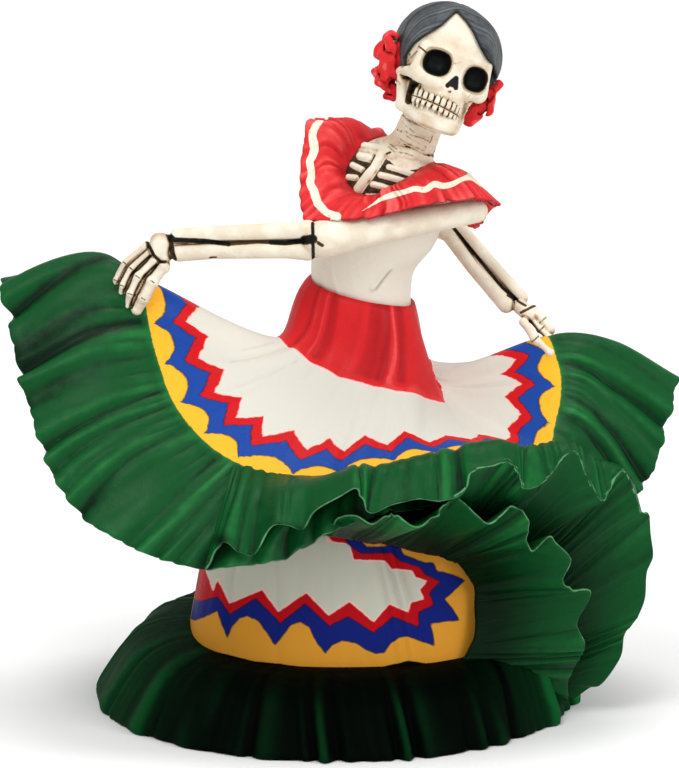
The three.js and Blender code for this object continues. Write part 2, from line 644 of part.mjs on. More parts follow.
export default part;
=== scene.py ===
# %% [markdown]
# # A painted skeleton dancer
# The real figure is one resin casting, about 18 cm tall, painted by hand and rubbed with a dark wash that
# stays in the hollows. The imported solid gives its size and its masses. Here each painted area becomes a
# finer piece that stands for that solid: cloth as drawn sheets, bone as carved clay.

# %% Frame and tools
import math

import bpy
import numpy as np
from mathutils import Matrix, Vector


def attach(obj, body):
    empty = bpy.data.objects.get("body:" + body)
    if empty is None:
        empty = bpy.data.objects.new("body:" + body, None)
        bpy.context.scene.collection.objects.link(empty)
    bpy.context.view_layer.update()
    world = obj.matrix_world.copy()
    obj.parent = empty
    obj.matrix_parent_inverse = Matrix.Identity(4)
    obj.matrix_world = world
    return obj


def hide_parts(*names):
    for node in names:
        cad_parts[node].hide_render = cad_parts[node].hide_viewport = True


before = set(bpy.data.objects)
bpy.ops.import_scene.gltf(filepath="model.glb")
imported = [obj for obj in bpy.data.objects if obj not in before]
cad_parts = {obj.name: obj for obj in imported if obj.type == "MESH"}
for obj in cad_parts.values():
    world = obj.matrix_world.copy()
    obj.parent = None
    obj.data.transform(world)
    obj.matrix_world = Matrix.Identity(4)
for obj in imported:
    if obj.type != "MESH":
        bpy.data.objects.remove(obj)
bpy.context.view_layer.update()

bpy.ops.object.select_all(action="DESELECT")
MM = 0.001

# %% [markdown]
# ## Camera
# The photograph was taken from in front, a little above, with a long lens. Four of its pixels are one
# millimetre on the figure, so the lens follows from the distance. The camera looks at the middle of the
# picture.

# %% Camera
PHOTO_HEIGHT = 768
PIXELS_PER_MM = 4
LOOK_DOWN = math.radians(14)
CAMERA_DISTANCE = 8.0
SENSOR = 36
AIM = Vector((-0.9, 0, 81.2)) * MM

bpy.ops.object.camera_add()
camera = bpy.context.object
camera.data.sensor_width = SENSOR
camera.data.lens = SENSOR * CAMERA_DISTANCE / (PHOTO_HEIGHT / PIXELS_PER_MM * MM)
toward_camera = Vector((0, -math.cos(LOOK_DOWN), math.sin(LOOK_DOWN)))
camera.location = AIM + toward_camera * CAMERA_DISTANCE
camera.rotation_euler = (math.pi / 2 - LOOK_DOWN, 0, 0)
camera.data.clip_end = 100
bpy.context.scene.camera = camera
print("lens", round(camera.data.lens), "mm")

# %% [markdown]
# ## Studio
# A pale floor and three soft round lights: one in front and above on the left, a weaker one on the right
# and one high behind, under a sky that is white all round. The shadows stay soft, as in a picture taken in
# a light tent. Plain display colours keep the paints as bright as they are mixed.

# %% Studio
SKY_STRENGTH = 0.68
FLOOR_SIZE = 30
LIT_PLACE = Vector((0, 0, 0.08))


def soft_light(name, place, size, power):
    bpy.ops.object.light_add(type="AREA", location=place)
    light = bpy.context.object
    light.name = name
    light.data.shape = "DISK"
    light.data.size = size
    light.data.energy = power
    light.rotation_euler = (LIT_PLACE - Vector(place)).to_track_quat("-Z", "Y").to_euler()


soft_light("key", (-0.35, -1.0, 1.3), 0.7, 9)
soft_light("fill", (1.15, -0.8, 0.85), 0.8, 7)
soft_light("top", (0.1, 0.2, 1.5), 0.8, 8)

world = bpy.data.worlds.new("studio")
bpy.context.scene.world = world
world.use_nodes = True
world.node_tree.nodes["Background"].inputs["Color"].default_value = (1, 1, 1, 1)
world.node_tree.nodes["Background"].inputs["Strength"].default_value = SKY_STRENGTH
bpy.context.scene.view_settings.view_transform = "Standard"

# %% [markdown]
# ## Mixing paints
# A material is a small sum: masks, noises and colours. `Value` lets such a sum be written with + and *, and
# each operation adds its Math node. `Paint` holds one material and adds every other node through one
# method.

# %% Values that add up
class Value:
    """A number that varies over a surface: a socket of a material's node tree."""

    def __init__(self, paint, socket):
        self.paint = paint
        self.socket = socket

    def _math(self, operation, first, second=None):
        given = [first] if second is None else [first, second]
        made = self.paint.node("ShaderNodeMath", {"operation": operation}, *given)
        return Value(self.paint, made.outputs[0])

    def __add__(self, other):
        return self._math("ADD", self, other)

    def __sub__(self, other):
        return self._math("SUBTRACT", self, other)

    def __rsub__(self, other):
        return self._math("SUBTRACT", other, self)

    def __mul__(self, other):
        return self._math("MULTIPLY", self, other)

    def __abs__(self):
        return self._math("ABSOLUTE", self)

    def fraction(self):
        return self._math("FRACT", self)

    def raised(self, power):
        return self._math("POWER", self, power)

    def highest(self, other):
        return self._math("MAXIMUM", self, other)

    __radd__ = __add__
    __rmul__ = __mul__


class Paint:
    """One material, with a shader that its values and colours feed."""

    def __init__(self, name, constants=None):
        self.material = bpy.data.materials.new(name)
        self.material.use_nodes = True
        self.tree = self.material.node_tree
        self.shader = self.tree.nodes["Principled BSDF"]
        for socket, value in (constants or {}).items():
            self.shader.inputs[socket].default_value = value

    def feed(self, socket, given):
        if isinstance(given, Value):
            given = given.socket
        if isinstance(given, bpy.types.NodeSocket):
            self.tree.links.new(given, socket)
        else:
            socket.default_value = given

    def node(self, kind, settings, *given, **named):
        made = self.tree.nodes.new(kind)
        for name, value in settings.items():
            setattr(made, name, value)
        for socket, value in zip(made.inputs, given):
            self.feed(socket, value)
        for name, value in named.items():
            self.feed(made.inputs[name], value)
        return made

    def spread(self, name):
        """A number stored at the piece's vertices."""
        return Value(self, self.node("ShaderNodeAttribute", {"attribute_name": name}).outputs["Fac"])

    def noise(self, size_mm, detail=3.0):
        """Noise between 0 and 1 whose blots are about that size."""
        place = self.node("ShaderNodeTexCoord", {}).outputs["Object"]
        made = self.node("ShaderNodeTexNoise", {}, Vector=place, Scale=1 / (size_mm * MM), Detail=detail)
        return Value(self, made.outputs["Fac"])

    def uneven(self, name, amount, size_mm, detail=3.0):
        """A stored number that noise makes a little higher here and lower there."""
        return self.spread(name) + (self.noise(size_mm, detail) - 0.5) * amount

    def brushed(self, size_mm):
        """The height of brushed paint: fine strokes on broader waves."""
        return self.noise(0.5, 2.0) * 0.3 + self.noise(size_mm) * 0.8

    def roughness(self, smoothest):
        """A roughness that is a little uneven, as brushed paint is."""
        return self.noise(2.0) * 0.2 + smoothest

    def ramp(self, value, low, high):
        """0 below low, 1 above high, and smooth between."""
        made = self.node("ShaderNodeMapRange", {"interpolation_type": "SMOOTHSTEP"}, Value=value)
        made.inputs["From Min"].default_value = low
        made.inputs["From Max"].default_value = high
        return Value(self, made.outputs["Result"])

    def mix(self, factor, first, second):
        """A colour between two colours."""
        made = self.node("ShaderNodeMix", {"data_type": "RGBA"})
        self.feed(made.inputs[0], factor)
        self.feed(made.inputs[6], first)
        self.feed(made.inputs[7], second)
        return made.outputs[2]

    def finish(self, colour, roughness, height, depth_mm):
        """Wires the shader: height is worth depth_mm where it is 1."""
        self.feed(self.shader.inputs["Base Color"], colour)
        self.feed(self.shader.inputs["Roughness"], roughness)
        bump = self.node("ShaderNodeBump", {}, Height=height, Distance=depth_mm * MM, Strength=1.0)
        self.feed(self.shader.inputs["Normal"], bump.outputs["Normal"])
        return self.material


def colour(red, green, blue):
    """A colour as it is read off a screen, from 0 to 255, turned into light."""
    channels = [c / 255 for c in (red, green, blue)]
    return (*[c / 12.92 if c < 0.04 else ((c + 0.055) / 1.055) ** 2.4 for c in channels], 1)


# %% [markdown]
# ## Sheets of cloth
# Each sheet hangs on rails: smooth curves through a few named places, from its inner edge to its outer
# edge. Places are written as they look from the camera (across, up, and how deep behind the middle), in
# millimetres. The cloth is the surface through the rails, given folds along its normal, a wall and a
# rounded hem.

# %% Places and rails
def seen(across, up, depth):
    return (across, depth, (up - math.sin(LOOK_DOWN) * depth) / math.cos(LOOK_DOWN))


def front_view(points):
    """Places as the camera sees them: across and up."""
    up = points[..., 2] * math.cos(LOOK_DOWN) + points[..., 1] * math.sin(LOOK_DOWN)
    return np.stack([points[..., 0], up], -1)


def smooth_through(points, where, closed=False):
    """Places on the smooth curve through the points; where runs from 0 to 1 by the points' own numbers."""
    points = np.asarray(points, float)
    count = len(points)
    if closed:
        padded = np.concatenate([points[-1:], points, points[:2]])
        place = (np.asarray(where) % 1.0) * count
        first = np.clip(np.floor(place).astype(int), 0, count - 1)
    else:
        padded = np.concatenate([2 * points[:1] - points[1:2], points, 2 * points[-1:] - points[-2:-1]])
        place = np.clip(where, 0, 1) * (count - 1)
        first = np.clip(np.floor(place).astype(int), 0, count - 2)
    t = (place - first).reshape(-1, *[1] * (points.ndim - 1))
    a, b, c, d = (padded[first + k] for k in range(4))
    bend, twist = (2 * a - 5 * b + 4 * c - d) * t ** 2, (3 * b - a - 3 * c + d) * t ** 3
    return 0.5 * (2 * b + (c - a) * t + bend + twist)


def even_steps(points, count, closed=False):
    """Where to stand on a curve so that count steps are equally long."""
    fine = np.linspace(0, 1, 4001)
    line = smooth_through(points, fine if not closed else fine * (1 - 1e-9), closed)
    run = np.concatenate([[0], np.cumsum(np.linalg.norm(np.diff(line, axis=0), axis=1))])
    goal = np.linspace(0, run[-1], count + 1)
    return np.interp(goal[:-1] if closed else goal, run, fine)


def surface(rails, where, rows, closed=False):
    """A grid of points, rows from the first rail to the last."""
    stops = np.stack([smooth_through(rail, where, closed) for rail in rails])
    return smooth_through(stops, np.linspace(0, 1, rows + 1))


def unit(vectors, least=0.0):
    return vectors / (np.linalg.norm(vectors, axis=-1, keepdims=True) + least)


def normals(grid, closed):
    fall = np.gradient(grid, axis=0)
    if closed:
        run = (np.roll(grid, -1, axis=1) - np.roll(grid, 1, axis=1)) / 2
    else:
        run = np.gradient(grid, axis=1)
    return unit(np.cross(fall, run), 1e-12)


# %% Making a piece
def volume_of(points, faces):
    first, others = points[faces[:, 0]], [points[faces[:, k]] for k in range(1, faces.shape[1])]
    return sum(np.einsum("ij,ij->i", first, np.cross(b, c)).sum() for b, c in zip(others, others[1:])) / 6


def add_piece(name, points, faces, paint, values=None):
    """A closed mesh from points in mm, with numbers stored at its points, that stands for the casting."""
    points = np.asarray(points, float)
    volume = sum(volume_of(points, some) for some in faces)
    if volume < 0:
        faces = [some[:, ::-1] for some in faces]
    mesh = bpy.data.meshes.new(name)
    mesh.from_pydata((points * MM).tolist(), [], [face for some in faces for face in some.tolist()])
    for key, numbers in (values or {}).items():
        stored = mesh.attributes.new(key, "FLOAT", "POINT")
        stored.data.foreach_set("value", np.asarray(numbers, np.float32).ravel())
    mesh.shade_smooth()
    mesh.materials.append(paint)
    piece = bpy.data.objects.new(name, mesh)
    bpy.context.collection.objects.link(piece)
    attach(piece, "root")
    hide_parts("dancer_figure")
    triangles = sum(len(some) * (some.shape[1] - 2) for some in faces)
    print(name, triangles, "triangles,", round(abs(volume) / 1000, 2), "cm3")


def cloth(name, grid, closed, lift, wall, paint, values, rim_steps=4):
    """A sheet with a wall: the grid lifted along its normals, its other side, and a round hem and edges."""
    rows, columns = grid.shape[:2]
    out = normals(grid, closed)
    middle = grid + out * lift[..., None]
    half = (np.linspace(*wall, rows) / 2)[:, None, None]
    outward = unit(np.gradient(middle, axis=0)[-1])
    layers = [*(middle + out * half)]
    for step in range(1, rim_steps + 1):
        turn = math.pi * step / (rim_steps + 1)
        layers.append(middle[-1] + (out[-1] * math.cos(turn) + outward * math.sin(turn)) * half[-1])
    layers += [*(middle - out * half)[::-1]]
    points = np.stack(layers)
    total = len(points)
    index = np.arange(total * columns).reshape(total, columns)
    right = np.roll(index, -1, axis=1) if closed else index[:, 1:]
    left = index if closed else index[:, :-1]
    below = np.roll(np.arange(total), -1)
    faces = np.stack([left, left[below], right[below], right], -1).reshape(-1, 4)
    if not closed:
        for edge, flip in ((0, 1), (columns - 1, -1)):
            ladder = index[:, edge]
            steps = np.arange((total - 1) // 2)
            other = total - 1 - steps
            quads = np.stack([ladder[steps], ladder[other], ladder[other - 1], ladder[steps + 1]], -1)
            faces = np.concatenate([faces, quads[:, ::flip]])
    underside = np.arange(total) >= rows + rim_steps / 2
    rim = np.zeros(total)
    rim[rows:rows + rim_steps] = np.sin(math.pi * np.arange(1, rim_steps + 1) / (rim_steps + 1))
    spread = {"underside": np.repeat(underside, columns), "rim": np.repeat(rim, columns)}
    for key, numbers in values.items():
        numbers = np.broadcast_to(numbers, (rows, columns))
        spread[key] = np.concatenate([numbers, np.repeat(numbers[-1:], rim_steps, axis=0), numbers[::-1]])
    add_piece(name, points.reshape(-1, 3), [faces], paint, spread)


# %% [markdown]
# ## Unevenness
# No two pleats in carved cloth are alike. These helpers make waves that close on themselves round a skirt:
# `drift` wanders slowly, and `pleats` has round crests and narrow valleys of uneven height.

# %% Folds
def all_seen(places):
    return [seen(*place) for place in places]


def drift(way, seed, slowest=2, fastest=9):
    """A slow uneven change along the way, mostly between -1 and 1, the same at 0 and at 1."""
    draw = np.random.default_rng(seed)
    waves = range(slowest, fastest + 1)
    return sum(np.cos(2 * math.pi * (k * way + draw.random())) for k in waves) / math.sqrt(len(waves) / 1.4)


def pleats(way, count, seed, roundness=0.75, uneven=0.35):
    """Waves from -1 in narrow valleys to 1 on round crests."""
    phase = math.pi * (count * way + uneven * drift(way, seed, 3, 17))
    height = 1 - uneven + uneven * drift(way, seed + 1, count // 3, count // 2)
    return height * (2 * (np.sin(phase) ** 2 + 0.004) ** (roundness / 2) - 1)


def ease(value, low, high):
    """0 below low, 1 above high, and smooth between."""
    t = np.clip((value - low) / (high - low), 0, 1)
    return t * t * (3 - 2 * t)


def hill(value, middle, width):
    """1 at the middle, falling to 0 on both sides."""
    return np.exp(-((value - middle) / width) ** 2)


def bow(value, start, width):
    """0 up to the start, 1 in the middle, and 0 again past the width."""
    return np.sin(math.pi * np.clip((value - start) / width, 0, 1))


def nearest_on(line, places):
    """For each place the number of the line's nearest point and the distance to it."""
    numbers, gaps = [], []
    for some in np.array_split(places, len(places) // 4000 + 1):
        away = np.linalg.norm(some[:, None] - line[None], axis=-1)
        numbers.append(away.argmin(axis=1))
        gaps.append(away.min(axis=1))
    return np.concatenate(numbers), np.concatenate(gaps)


def gap_to(places, a, b):
    """How far places are from the straight line between two, and how far along it the nearest point lies."""
    along = np.clip((places - a) @ (b - a) / ((b - a) @ (b - a)), 0, 1)
    return np.linalg.norm(places - a - along[..., None] * (b - a), axis=-1), along


def lengths_down(grid):
    """How far each point lies from the first row, along its column, in millimetres."""
    steps = np.linalg.norm(np.diff(grid, axis=0), axis=-1)
    return np.concatenate([np.zeros((1, grid.shape[1])), np.cumsum(steps, axis=0)])


# %% [markdown]
# ## Green cloth
# Every flounce is the same paint: a strong green with a painted highlight on the crests, nearly black in the
# valleys, where painted shade joins the wash, and a pale line on the rims, partly dry-brushed and partly
# painted highlight. Painted shade also darkens cloth that lies under other cloth. The pieces store how high
# a point lies on its fold (`crest`), how near the rim it is (`rim`), and how much painted shade it takes
# (`painted_shade`).

# %% Green paint
SHEEN = 0.1
GREENS = [colour(5, 32, 15), colour(10, 72, 32), colour(30, 112, 52), colour(110, 168, 120)]
# A near-black green that stands in for shade.
PAINTED_SHADE_GREEN = colour(2, 4, 3)


def green_colour(paint, greens):
    valley_hue, body_hue, crest_hue, rim_hue = greens
    blots = paint.noise(3.0, 4.0)
    crest = paint.spread("crest") + (blots - 0.5) * 0.35
    # Valleys are painted darker as shade and crests lighter as highlights. The pale rim line is partly
    # dry-brushed paint and partly a painted highlight.
    body = paint.mix(paint.ramp(crest, 0.05, 0.5), valley_hue, body_hue)
    lit = paint.mix(paint.ramp(crest, 0.55, 1.15), body, crest_hue)
    rim = paint.ramp(paint.spread("rim") + (blots - 0.5) * 0.8, 0.7, 1.1) * 0.7
    rimmed = paint.mix(rim, lit, rim_hue)
    # Where a piece stores painted shade, the green is laid near-black, as shade.
    return paint.mix(paint.spread("painted_shade"), rimmed, PAINTED_SHADE_GREEN)


def green_cloth(name, greens, sheen, smoothest):
    paint = Paint(name, {"Specular IOR Level": sheen})
    height = paint.noise(0.5, 2.0) * 0.5 + paint.noise(2.2)
    return paint.finish(green_colour(paint, greens), paint.roughness(smoothest), height, 0.12)


GREEN = green_cloth("green_cloth", GREENS, 0.07, 0.26)

# %% [markdown]
# ## Banded panels
# The white panels end in a painted border: red, blue and yellow zigzags, the yellow with round bumps. The
# piece stores where a point lies along the border, counted in teeth, and how far in it lies, as a share of
# a tooth's reach. From those two numbers the shader works out which colour a point has. The colours lie in
# shallow steps, so each edge gets a thin line of painted light: a pale highlight along the red, and dark
# painted shade along the blue and the yellow.

# %% Border colours
RED = colour(196, 20, 26)
BLUE = colour(24, 66, 150)
YELLOW = colour(240, 176, 44)
YOKE_RED = colour(204, 34, 38)
WHITE = colour(208, 206, 195)
CREASE_SHADE = colour(168, 154, 134)
UPPER_BORDER = {"yellow": (0.1, 0.35), "blue": (0.42, 0.75), "red": (0.67, 1.0)}
EDGE_HIGHLIGHT = colour(250, 196, 186)
EDGE_SHADE = colour(20, 16, 22)


def painted_over(paint, under, inside, hue, pale):
    """Paint laid over what is there, inside where the number is above 0, with thin painted light along its
    edge.
    """
    laid = paint.mix(paint.ramp(inside, -0.012, 0.012), under, hue)
    # The edge line stands in for light on the step: pale as a painted highlight, dark as painted shade.
    line = (1 - paint.ramp(abs(inside), 0.008, 0.03)) * (0.6 if pale else 0.55)
    return paint.mix(line, laid, EDGE_HIGHLIGHT if pale else EDGE_SHADE)


def zigzag_border(paint, under):
    """The border in teeth, with the height of its paint."""
    inward = paint.uneven("inward", 0.05, 1.6, 2.0)
    teeth = paint.spread("teeth") + paint.spread("lean") * inward + (paint.noise(2.4, 2.0) - 0.5) * 0.16
    peak = abs(teeth.fraction() - 0.5) * 2
    bump = 1 - (1 - peak).raised(2.2)
    height = 0.0
    for name, hue, profile in (("red", RED, peak), ("blue", BLUE, peak), ("yellow", YELLOW, bump)):
        low, high = UPPER_BORDER[name]
        inside = (profile * (high - low) + low) - inward
        under = painted_over(paint, under, inside, hue, name == "red")
        height = paint.ramp(inside, -0.02, 0.02) * 0.33 + height
    return under, height


def creased_white(paint, light, crease):
    # Where the white creases, it is painted darker, as shade.
    creased = paint.ramp(1 - paint.uneven("crest", -0.3, 4.0), 0.35, 0.95)
    return paint.mix(creased * 0.7, light, crease)


YOKE_SHADE = colour(134, 12, 20)
YOKE_LIGHT = colour(232, 84, 82)
TRIM = colour(250, 206, 196)
UNDERSIDE = colour(8, 34, 17)


def overskirt_paint():
    paint = Paint("overskirt_paint", {"Specular IOR Level": SHEEN})
    panel, steps = zigzag_border(paint, creased_white(paint, WHITE, CREASE_SHADE))
    crest = paint.uneven("crest", 0.25, 3.0)
    shade = paint.mix(paint.ramp(1 - crest, 0.35, 1.0) * 0.6, YOKE_RED, YOKE_SHADE)
    red = paint.mix(paint.ramp(crest, 0.75, 1.1) * 0.7, shade, YOKE_LIGHT)
    above = paint.uneven("yoke", 0.6, 2.0)
    yoke = paint.ramp(above, -0.12, 0.12)
    trim = (1 - paint.ramp(abs(above), 0.15, 0.4)) * 0.7
    body = paint.mix(trim, paint.mix(yoke, panel, red), TRIM)
    above_seam = paint.ramp(paint.uneven("inward", 0.04, 1.2), -0.012, 0.012)
    outside = paint.mix(above_seam, green_colour(paint, GREENS), body)
    whole = paint.mix(paint.spread("underside"), outside, UNDERSIDE)
    return paint.finish(whole, paint.roughness(0.3), steps + paint.brushed(2.2), 0.14)


# %% [markdown]
# ## Overskirt
# One sheet from the waist to the hem, all round. The rails are the waist, the edge of the red yoke, the
# seam where the green flounce is gathered on, the middle of the flounce and its hem, from the left hand in
# front to the right hand and home behind.

# %% Overskirt rails
YOKE_EDGE = all_seen([
    (-16.5, 89.5, 0), (-15.5, 89, -6), (-14, 87.5, -9), (-11, 86, -12), (-8, 83.5, -14.5),
    (-4.5, 82, -16), (-1, 80, -17), (4, 79, -18), (8, 78, -18), (13, 77.5, -18),
    (17, 77, -16), (21, 75.5, -12), (24, 74.5, -8), (24, 75, -5), (24, 76, -2),
    (24, 77, 1), (23.5, 78, 3), (23, 79.5, 5), (22.5, 81, 7),
]) + [(21, 11, 84), (16, 15.5, 82.5), (8, 18, 82), (0, 18, 82.5), (-8, 16, 84.5), (-14, 9, 88.5)]

FLOUNCE_SEAM = all_seen([
    (-49, 104, -8), (-49, 95, -16), (-46, 83, -24), (-42, 73, -30), (-34.5, 64, -35),
    (-26, 58.5, -38), (-16, 55.5, -40), (-6, 54, -41), (0.5, 55.5, -41), (8, 57, -41),
    (15.5, 59, -40), (22, 60, -38), (32, 61, -36), (40.5, 60.5, -33), (50.5, 61, -28),
    (53, 68.5, -20), (54.5, 76, -13), (54, 83, -6), (51, 90, 2),
]) + [(46, 18, 82), (37, 31, 72), (22, 40, 66), (0, 43, 64), (-22, 38, 69), (-41, 21, 87)]

FLOUNCE_MIDDLE = all_seen([
    (-62, 110.4, -3), (-66, 98.8, -16), (-64, 85, -26), (-60, 71, -34), (-53, 58.5, -42),
    (-44, 48.5, -47), (-31, 43.5, -51), (-19, 42, -52), (-8, 45, -50), (2, 50.5, -48),
    (13, 53, -44), (22, 55, -41), (30.5, 56, -38), (41, 55, -34), (52, 56, -28),
    (62, 61, -20), (66, 68.5, -14), (68, 77, -7), (67, 88.5, 1),
]) + [(60, 20, 78), (48, 39, 65), (28, 50, 57), (0, 54, 55), (-30, 47, 60), (-55, 26, 82)]

OVERSKIRT_HEM = all_seen([
    (-84.2, 103.8, -2), (-83.2, 95, -14), (-81, 83.5, -24), (-77, 70, -33), (-71, 54, -42),
    (-61, 43, -49), (-46, 35.5, -54), (-31, 33, -57), (-16, 35, -56), (-3, 42, -53),
    (10.5, 46.5, -48), (20.5, 48.5, -44), (30, 50, -40), (42, 50, -36), (54, 50, -30),
    (67, 50, -24), (76, 55, -17), (80.5, 68.5, -10), (82.6, 79, 0),
]) + [(74, 22, 66), (57, 44, 52), (33, 57, 44), (0, 62, 42), (-35, 55, 47), (-66, 30, 74)]

WAIST_CENTRE = (4.5, 0, 105)
WAIST_HALF_WIDTH = 12.3
WAIST_HALF_DEPTH = 10
WAIST_LEAN = 0.26


def waist_ring():
    ring = []
    for x, y, _ in YOKE_EDGE:
        turn = math.atan2(y - WAIST_CENTRE[1], x - WAIST_CENTRE[0])
        across = math.cos(turn) * WAIST_HALF_WIDTH
        deep, height = math.sin(turn) * WAIST_HALF_DEPTH, WAIST_CENTRE[2] - WAIST_LEAN * across
        ring.append((WAIST_CENTRE[0] + across, deep, height))
    return ring


# %% Creases in the white panel
PANEL_CREASES = [
    [(-10.1, 84.7), (-18.9, 80.3), (-28.5, 76.6)], [(-13.8, 87.3), (-24.1, 84.3), (-28.5, 84)],
    [(-17.5, 88.4), (-27.8, 86.2)],
]

# %% Where the teeth point
# The valleys between the yellow bumps, as the camera sees them, how far a red tooth reaches there, and how
# far its tip leans along the border, in teeth.
UPPER_CUSPS = [
    (-46.8, 93.3), (-44, 83.7), (-40.3, 74.6), (-34.4, 66.9), (-26.5, 60.9), (-13.1, 56.4), (-1, 56.7),
    (13, 59.8), (24, 61), (35, 61), (46, 61), (51, 68.4), (52, 77.5), (52, 86.5),
]
UPPER_REACH = [16, 16.6, 16.8, 16.8, 16, 15, 14, 12, 10, 12, 14, 15.3, 16, 15.5]
UPPER_LEAN = [0.5, 0.2, -0.1, -0.1, 0, 0.1, 0.3, 0.5, 0.3, 0.15, 0, -0.05, -0.2, 0]
BEHIND_FROM = 12


def count_teeth(line, cusps, *measures):
    """Numbers along a closed border, whole at a tooth's tip and half at a cusp, and the cusps' measures."""
    view = front_view(line)
    away = np.linalg.norm(view[None] - np.asarray(cusps)[:, None], axis=-1)
    away[:, line[:, 1] > BEHIND_FROM] = 1e9
    nearest = away.argmin(axis=1)
    run = np.concatenate([[0], np.cumsum(np.linalg.norm(np.diff(line, axis=0), axis=1))])
    at = run[nearest]
    pitch = np.diff(at).mean()
    teeth = np.interp(run, at, np.arange(len(at)) + 0.5)
    teeth = np.where(run < at[0], 0.5 - (at[0] - run) / pitch, teeth)
    teeth = np.where(run > at[-1], len(at) - 0.5 + (run - at[-1]) / pitch, teeth)
    total = run[-1] + np.linalg.norm(line[0] - line[-1])
    whole_way = teeth[0] + round(teeth[-1] - teeth[0] + (total - run[-1]) / pitch)
    behind = len(at) - 0.5 + (run - at[-1]) * (whole_way - (len(at) - 0.5)) / (total - at[-1])
    return np.where(run > at[-1], behind, teeth), [np.interp(run, at, numbers) for numbers in measures]


# %% Overskirt sheet
COLUMNS = 820
ROWS = 44
SKIRT_WALL = (2.4, 1.1)
FOLD_DROOP = 0.03
BROAD_WAVES, GATHERS, FINE_GATHERS = 25, 61, 127


def overskirt():
    where = even_steps(OVERSKIRT_HEM, COLUMNS, closed=True)
    rails = [waist_ring(), YOKE_EDGE, FLOUNCE_SEAM, FLOUNCE_MIDDLE, OVERSKIRT_HEM]
    grid = surface(rails, where, ROWS, closed=True)
    way = np.arange(COLUMNS)[None] / COLUMNS
    down = np.linspace(0, 1, ROWS + 1)[:, None]
    flounce = np.clip((down - 0.5) / 0.5, 0, 1)
    left, right = ease(0.42 - way, 0, 0.12), ease(way, 0.52, 0.6)
    droop = FOLD_DROOP * (left - 0.5 * right) * flounce
    waves = pleats(way - droop, BROAD_WAVES, 13, roundness=1.7, uneven=0.5)
    gathers = pleats(way - droop + 0.004 * flounce * drift(way, 3), GATHERS, 11, roundness=1.1)
    small = pleats(way - 0.7 * droop, FINE_GATHERS, 12, uneven=0.4)
    tight = hill(flounce, 0.1, 0.18) * (flounce > 0)
    outwards = unit(grid[-1] - grid[-7])
    wander = (0.65 * gathers + 0.35 * small - 0.4) * flounce ** 5
    grid = grid + outwards[None] * wander[..., None]
    panel = bow(down, 0.22, 0.3)
    soft = pleats(way, 26, 21, roundness=1.2, uneven=0.5)
    yoke = bow(down, 0.02, 0.3) ** 0.7
    pull = 0.16 * (down - 0.2) * np.cos(2 * math.pi * (way - 0.22))
    pulled = pleats(way + pull, 12, 31, roundness=1.7, uneven=0.5)
    bulge = bow(down, 0, 0.25) * hill(np.minimum(way, 1 - way), 0, 0.06)
    grid = grid + bulge[..., None] * [-1.5, 0, 0.9]
    places = front_view(grid).reshape(-1, 2)
    gaps = [nearest_on(smooth_through(line, np.linspace(0, 1, 40)), places)[1] for line in PANEL_CREASES]
    creased = hill(np.min(gaps, axis=0), 0, 0.55).reshape(grid.shape[:2]) * (grid[..., 1] < 0)
    grown = ease(flounce, 0.0, 0.12)
    calmer = 1 - 0.4 * right
    gathered = gathers * (0.25 + 0.6 * flounce ** 0.8 + 0.8 * flounce ** 4) * calmer
    lift = grown * (waves * 1.7 * calmer * flounce ** 1.2 + gathered)
    lift = lift + 0.3 * small * (1.3 * tight + 0.2 * flounce) * grown
    lift = lift + 0.18 * soft * panel + 0.38 * pulled * yoke - 0.3 * creased
    run = lengths_down(grid)
    seam, edge = run[ROWS // 2], run[ROWS // 4]
    teeth, (reach, lean) = count_teeth(grid[ROWS // 2], UPPER_CUSPS, UPPER_REACH, UPPER_LEAN)
    # The right side of the flounce is painted lighter, as painted light, and its broad waves shade less
    # there.
    green = 0.44 + 0.46 * waves * flounce ** 0.7 * (1 - 0.6 * right) + 0.34 * gathers * calmer
    green = green + 0.24 * small * (0.2 + tight) + 0.16 * right
    # Creases in the white panel lower the crest number, so they are painted darker as shade.
    plain = np.where(down < 0.25, 0.5 + 0.5 * pulled, 0.9 + 0.06 * soft - 0.5 * creased)
    red_dips = 1.7 * hill(way, 0.32, 0.07)
    values = {
        "teeth": teeth[None], "lean": lean[None], "inward": (seam - run) / reach,
        "yoke": edge - run + red_dips, "crest": np.where(flounce > 0, green, plain), "painted_shade": 0.0,
    }
    cloth("overskirt", grid, True, lift, SKIRT_WALL, overskirt_paint(), values)


overskirt()

# %% [markdown]
# ## Lip, side fold and curl
# In front the overskirt's flounce rolls outwards. Its hem wanders in and out, so it is drawn crest by
# crest. The same cloth swings to the right and falls to the table as the side fold, and the underskirt's
# own flounce climbs up and curls towards the viewer. Each is a sheet between a smooth root and the drawn
# hem, with a few broad creases.

# %% Folded sheets
LIP_HEM = all_seen([
    (-34, 33, -58), (-30, 39.5, -60), (-26, 37.5, -61), (-22, 37, -61), (-18, 43.5, -61), (-14, 44, -61),
    (-10, 43, -61), (-7, 47.5, -60), (-1, 51, -60), (3, 53, -60), (5, 50, -59), (7, 47, -59),
    (12, 49, -58), (18.5, 50.5, -58), (23, 50, -58), (27, 50.5, -57), (30.5, 53, -56), (32, 57, -55),
    (37, 58.5, -53), (41, 59.5, -51), (43.5, 56.5, -50), (45, 53, -50), (49, 54, -48), (52, 57, -46),
    (55, 61, -44), (58, 61.5, -42), (60, 57, -40), (64, 50, -38), (66.5, 53, -35), (68, 56, -33),
    (70, 57, -31), (72, 53, -29), (74, 47, -27),
])
LIP_ROOT = all_seen([
    (-27, 59, -37), (-17, 56, -39.5), (-6, 55, -40.5), (8, 57, -40.5), (22, 60, -37.5), (37, 60, -33),
    (50.5, 60, -28), (60.5, 59, -23), (70.5, 55, -17),
])
LIP_RISE = [2, 3, 4, 5, 6, 6, 5.5, 4, 2]
SIDE_FOLD_FROM = 15
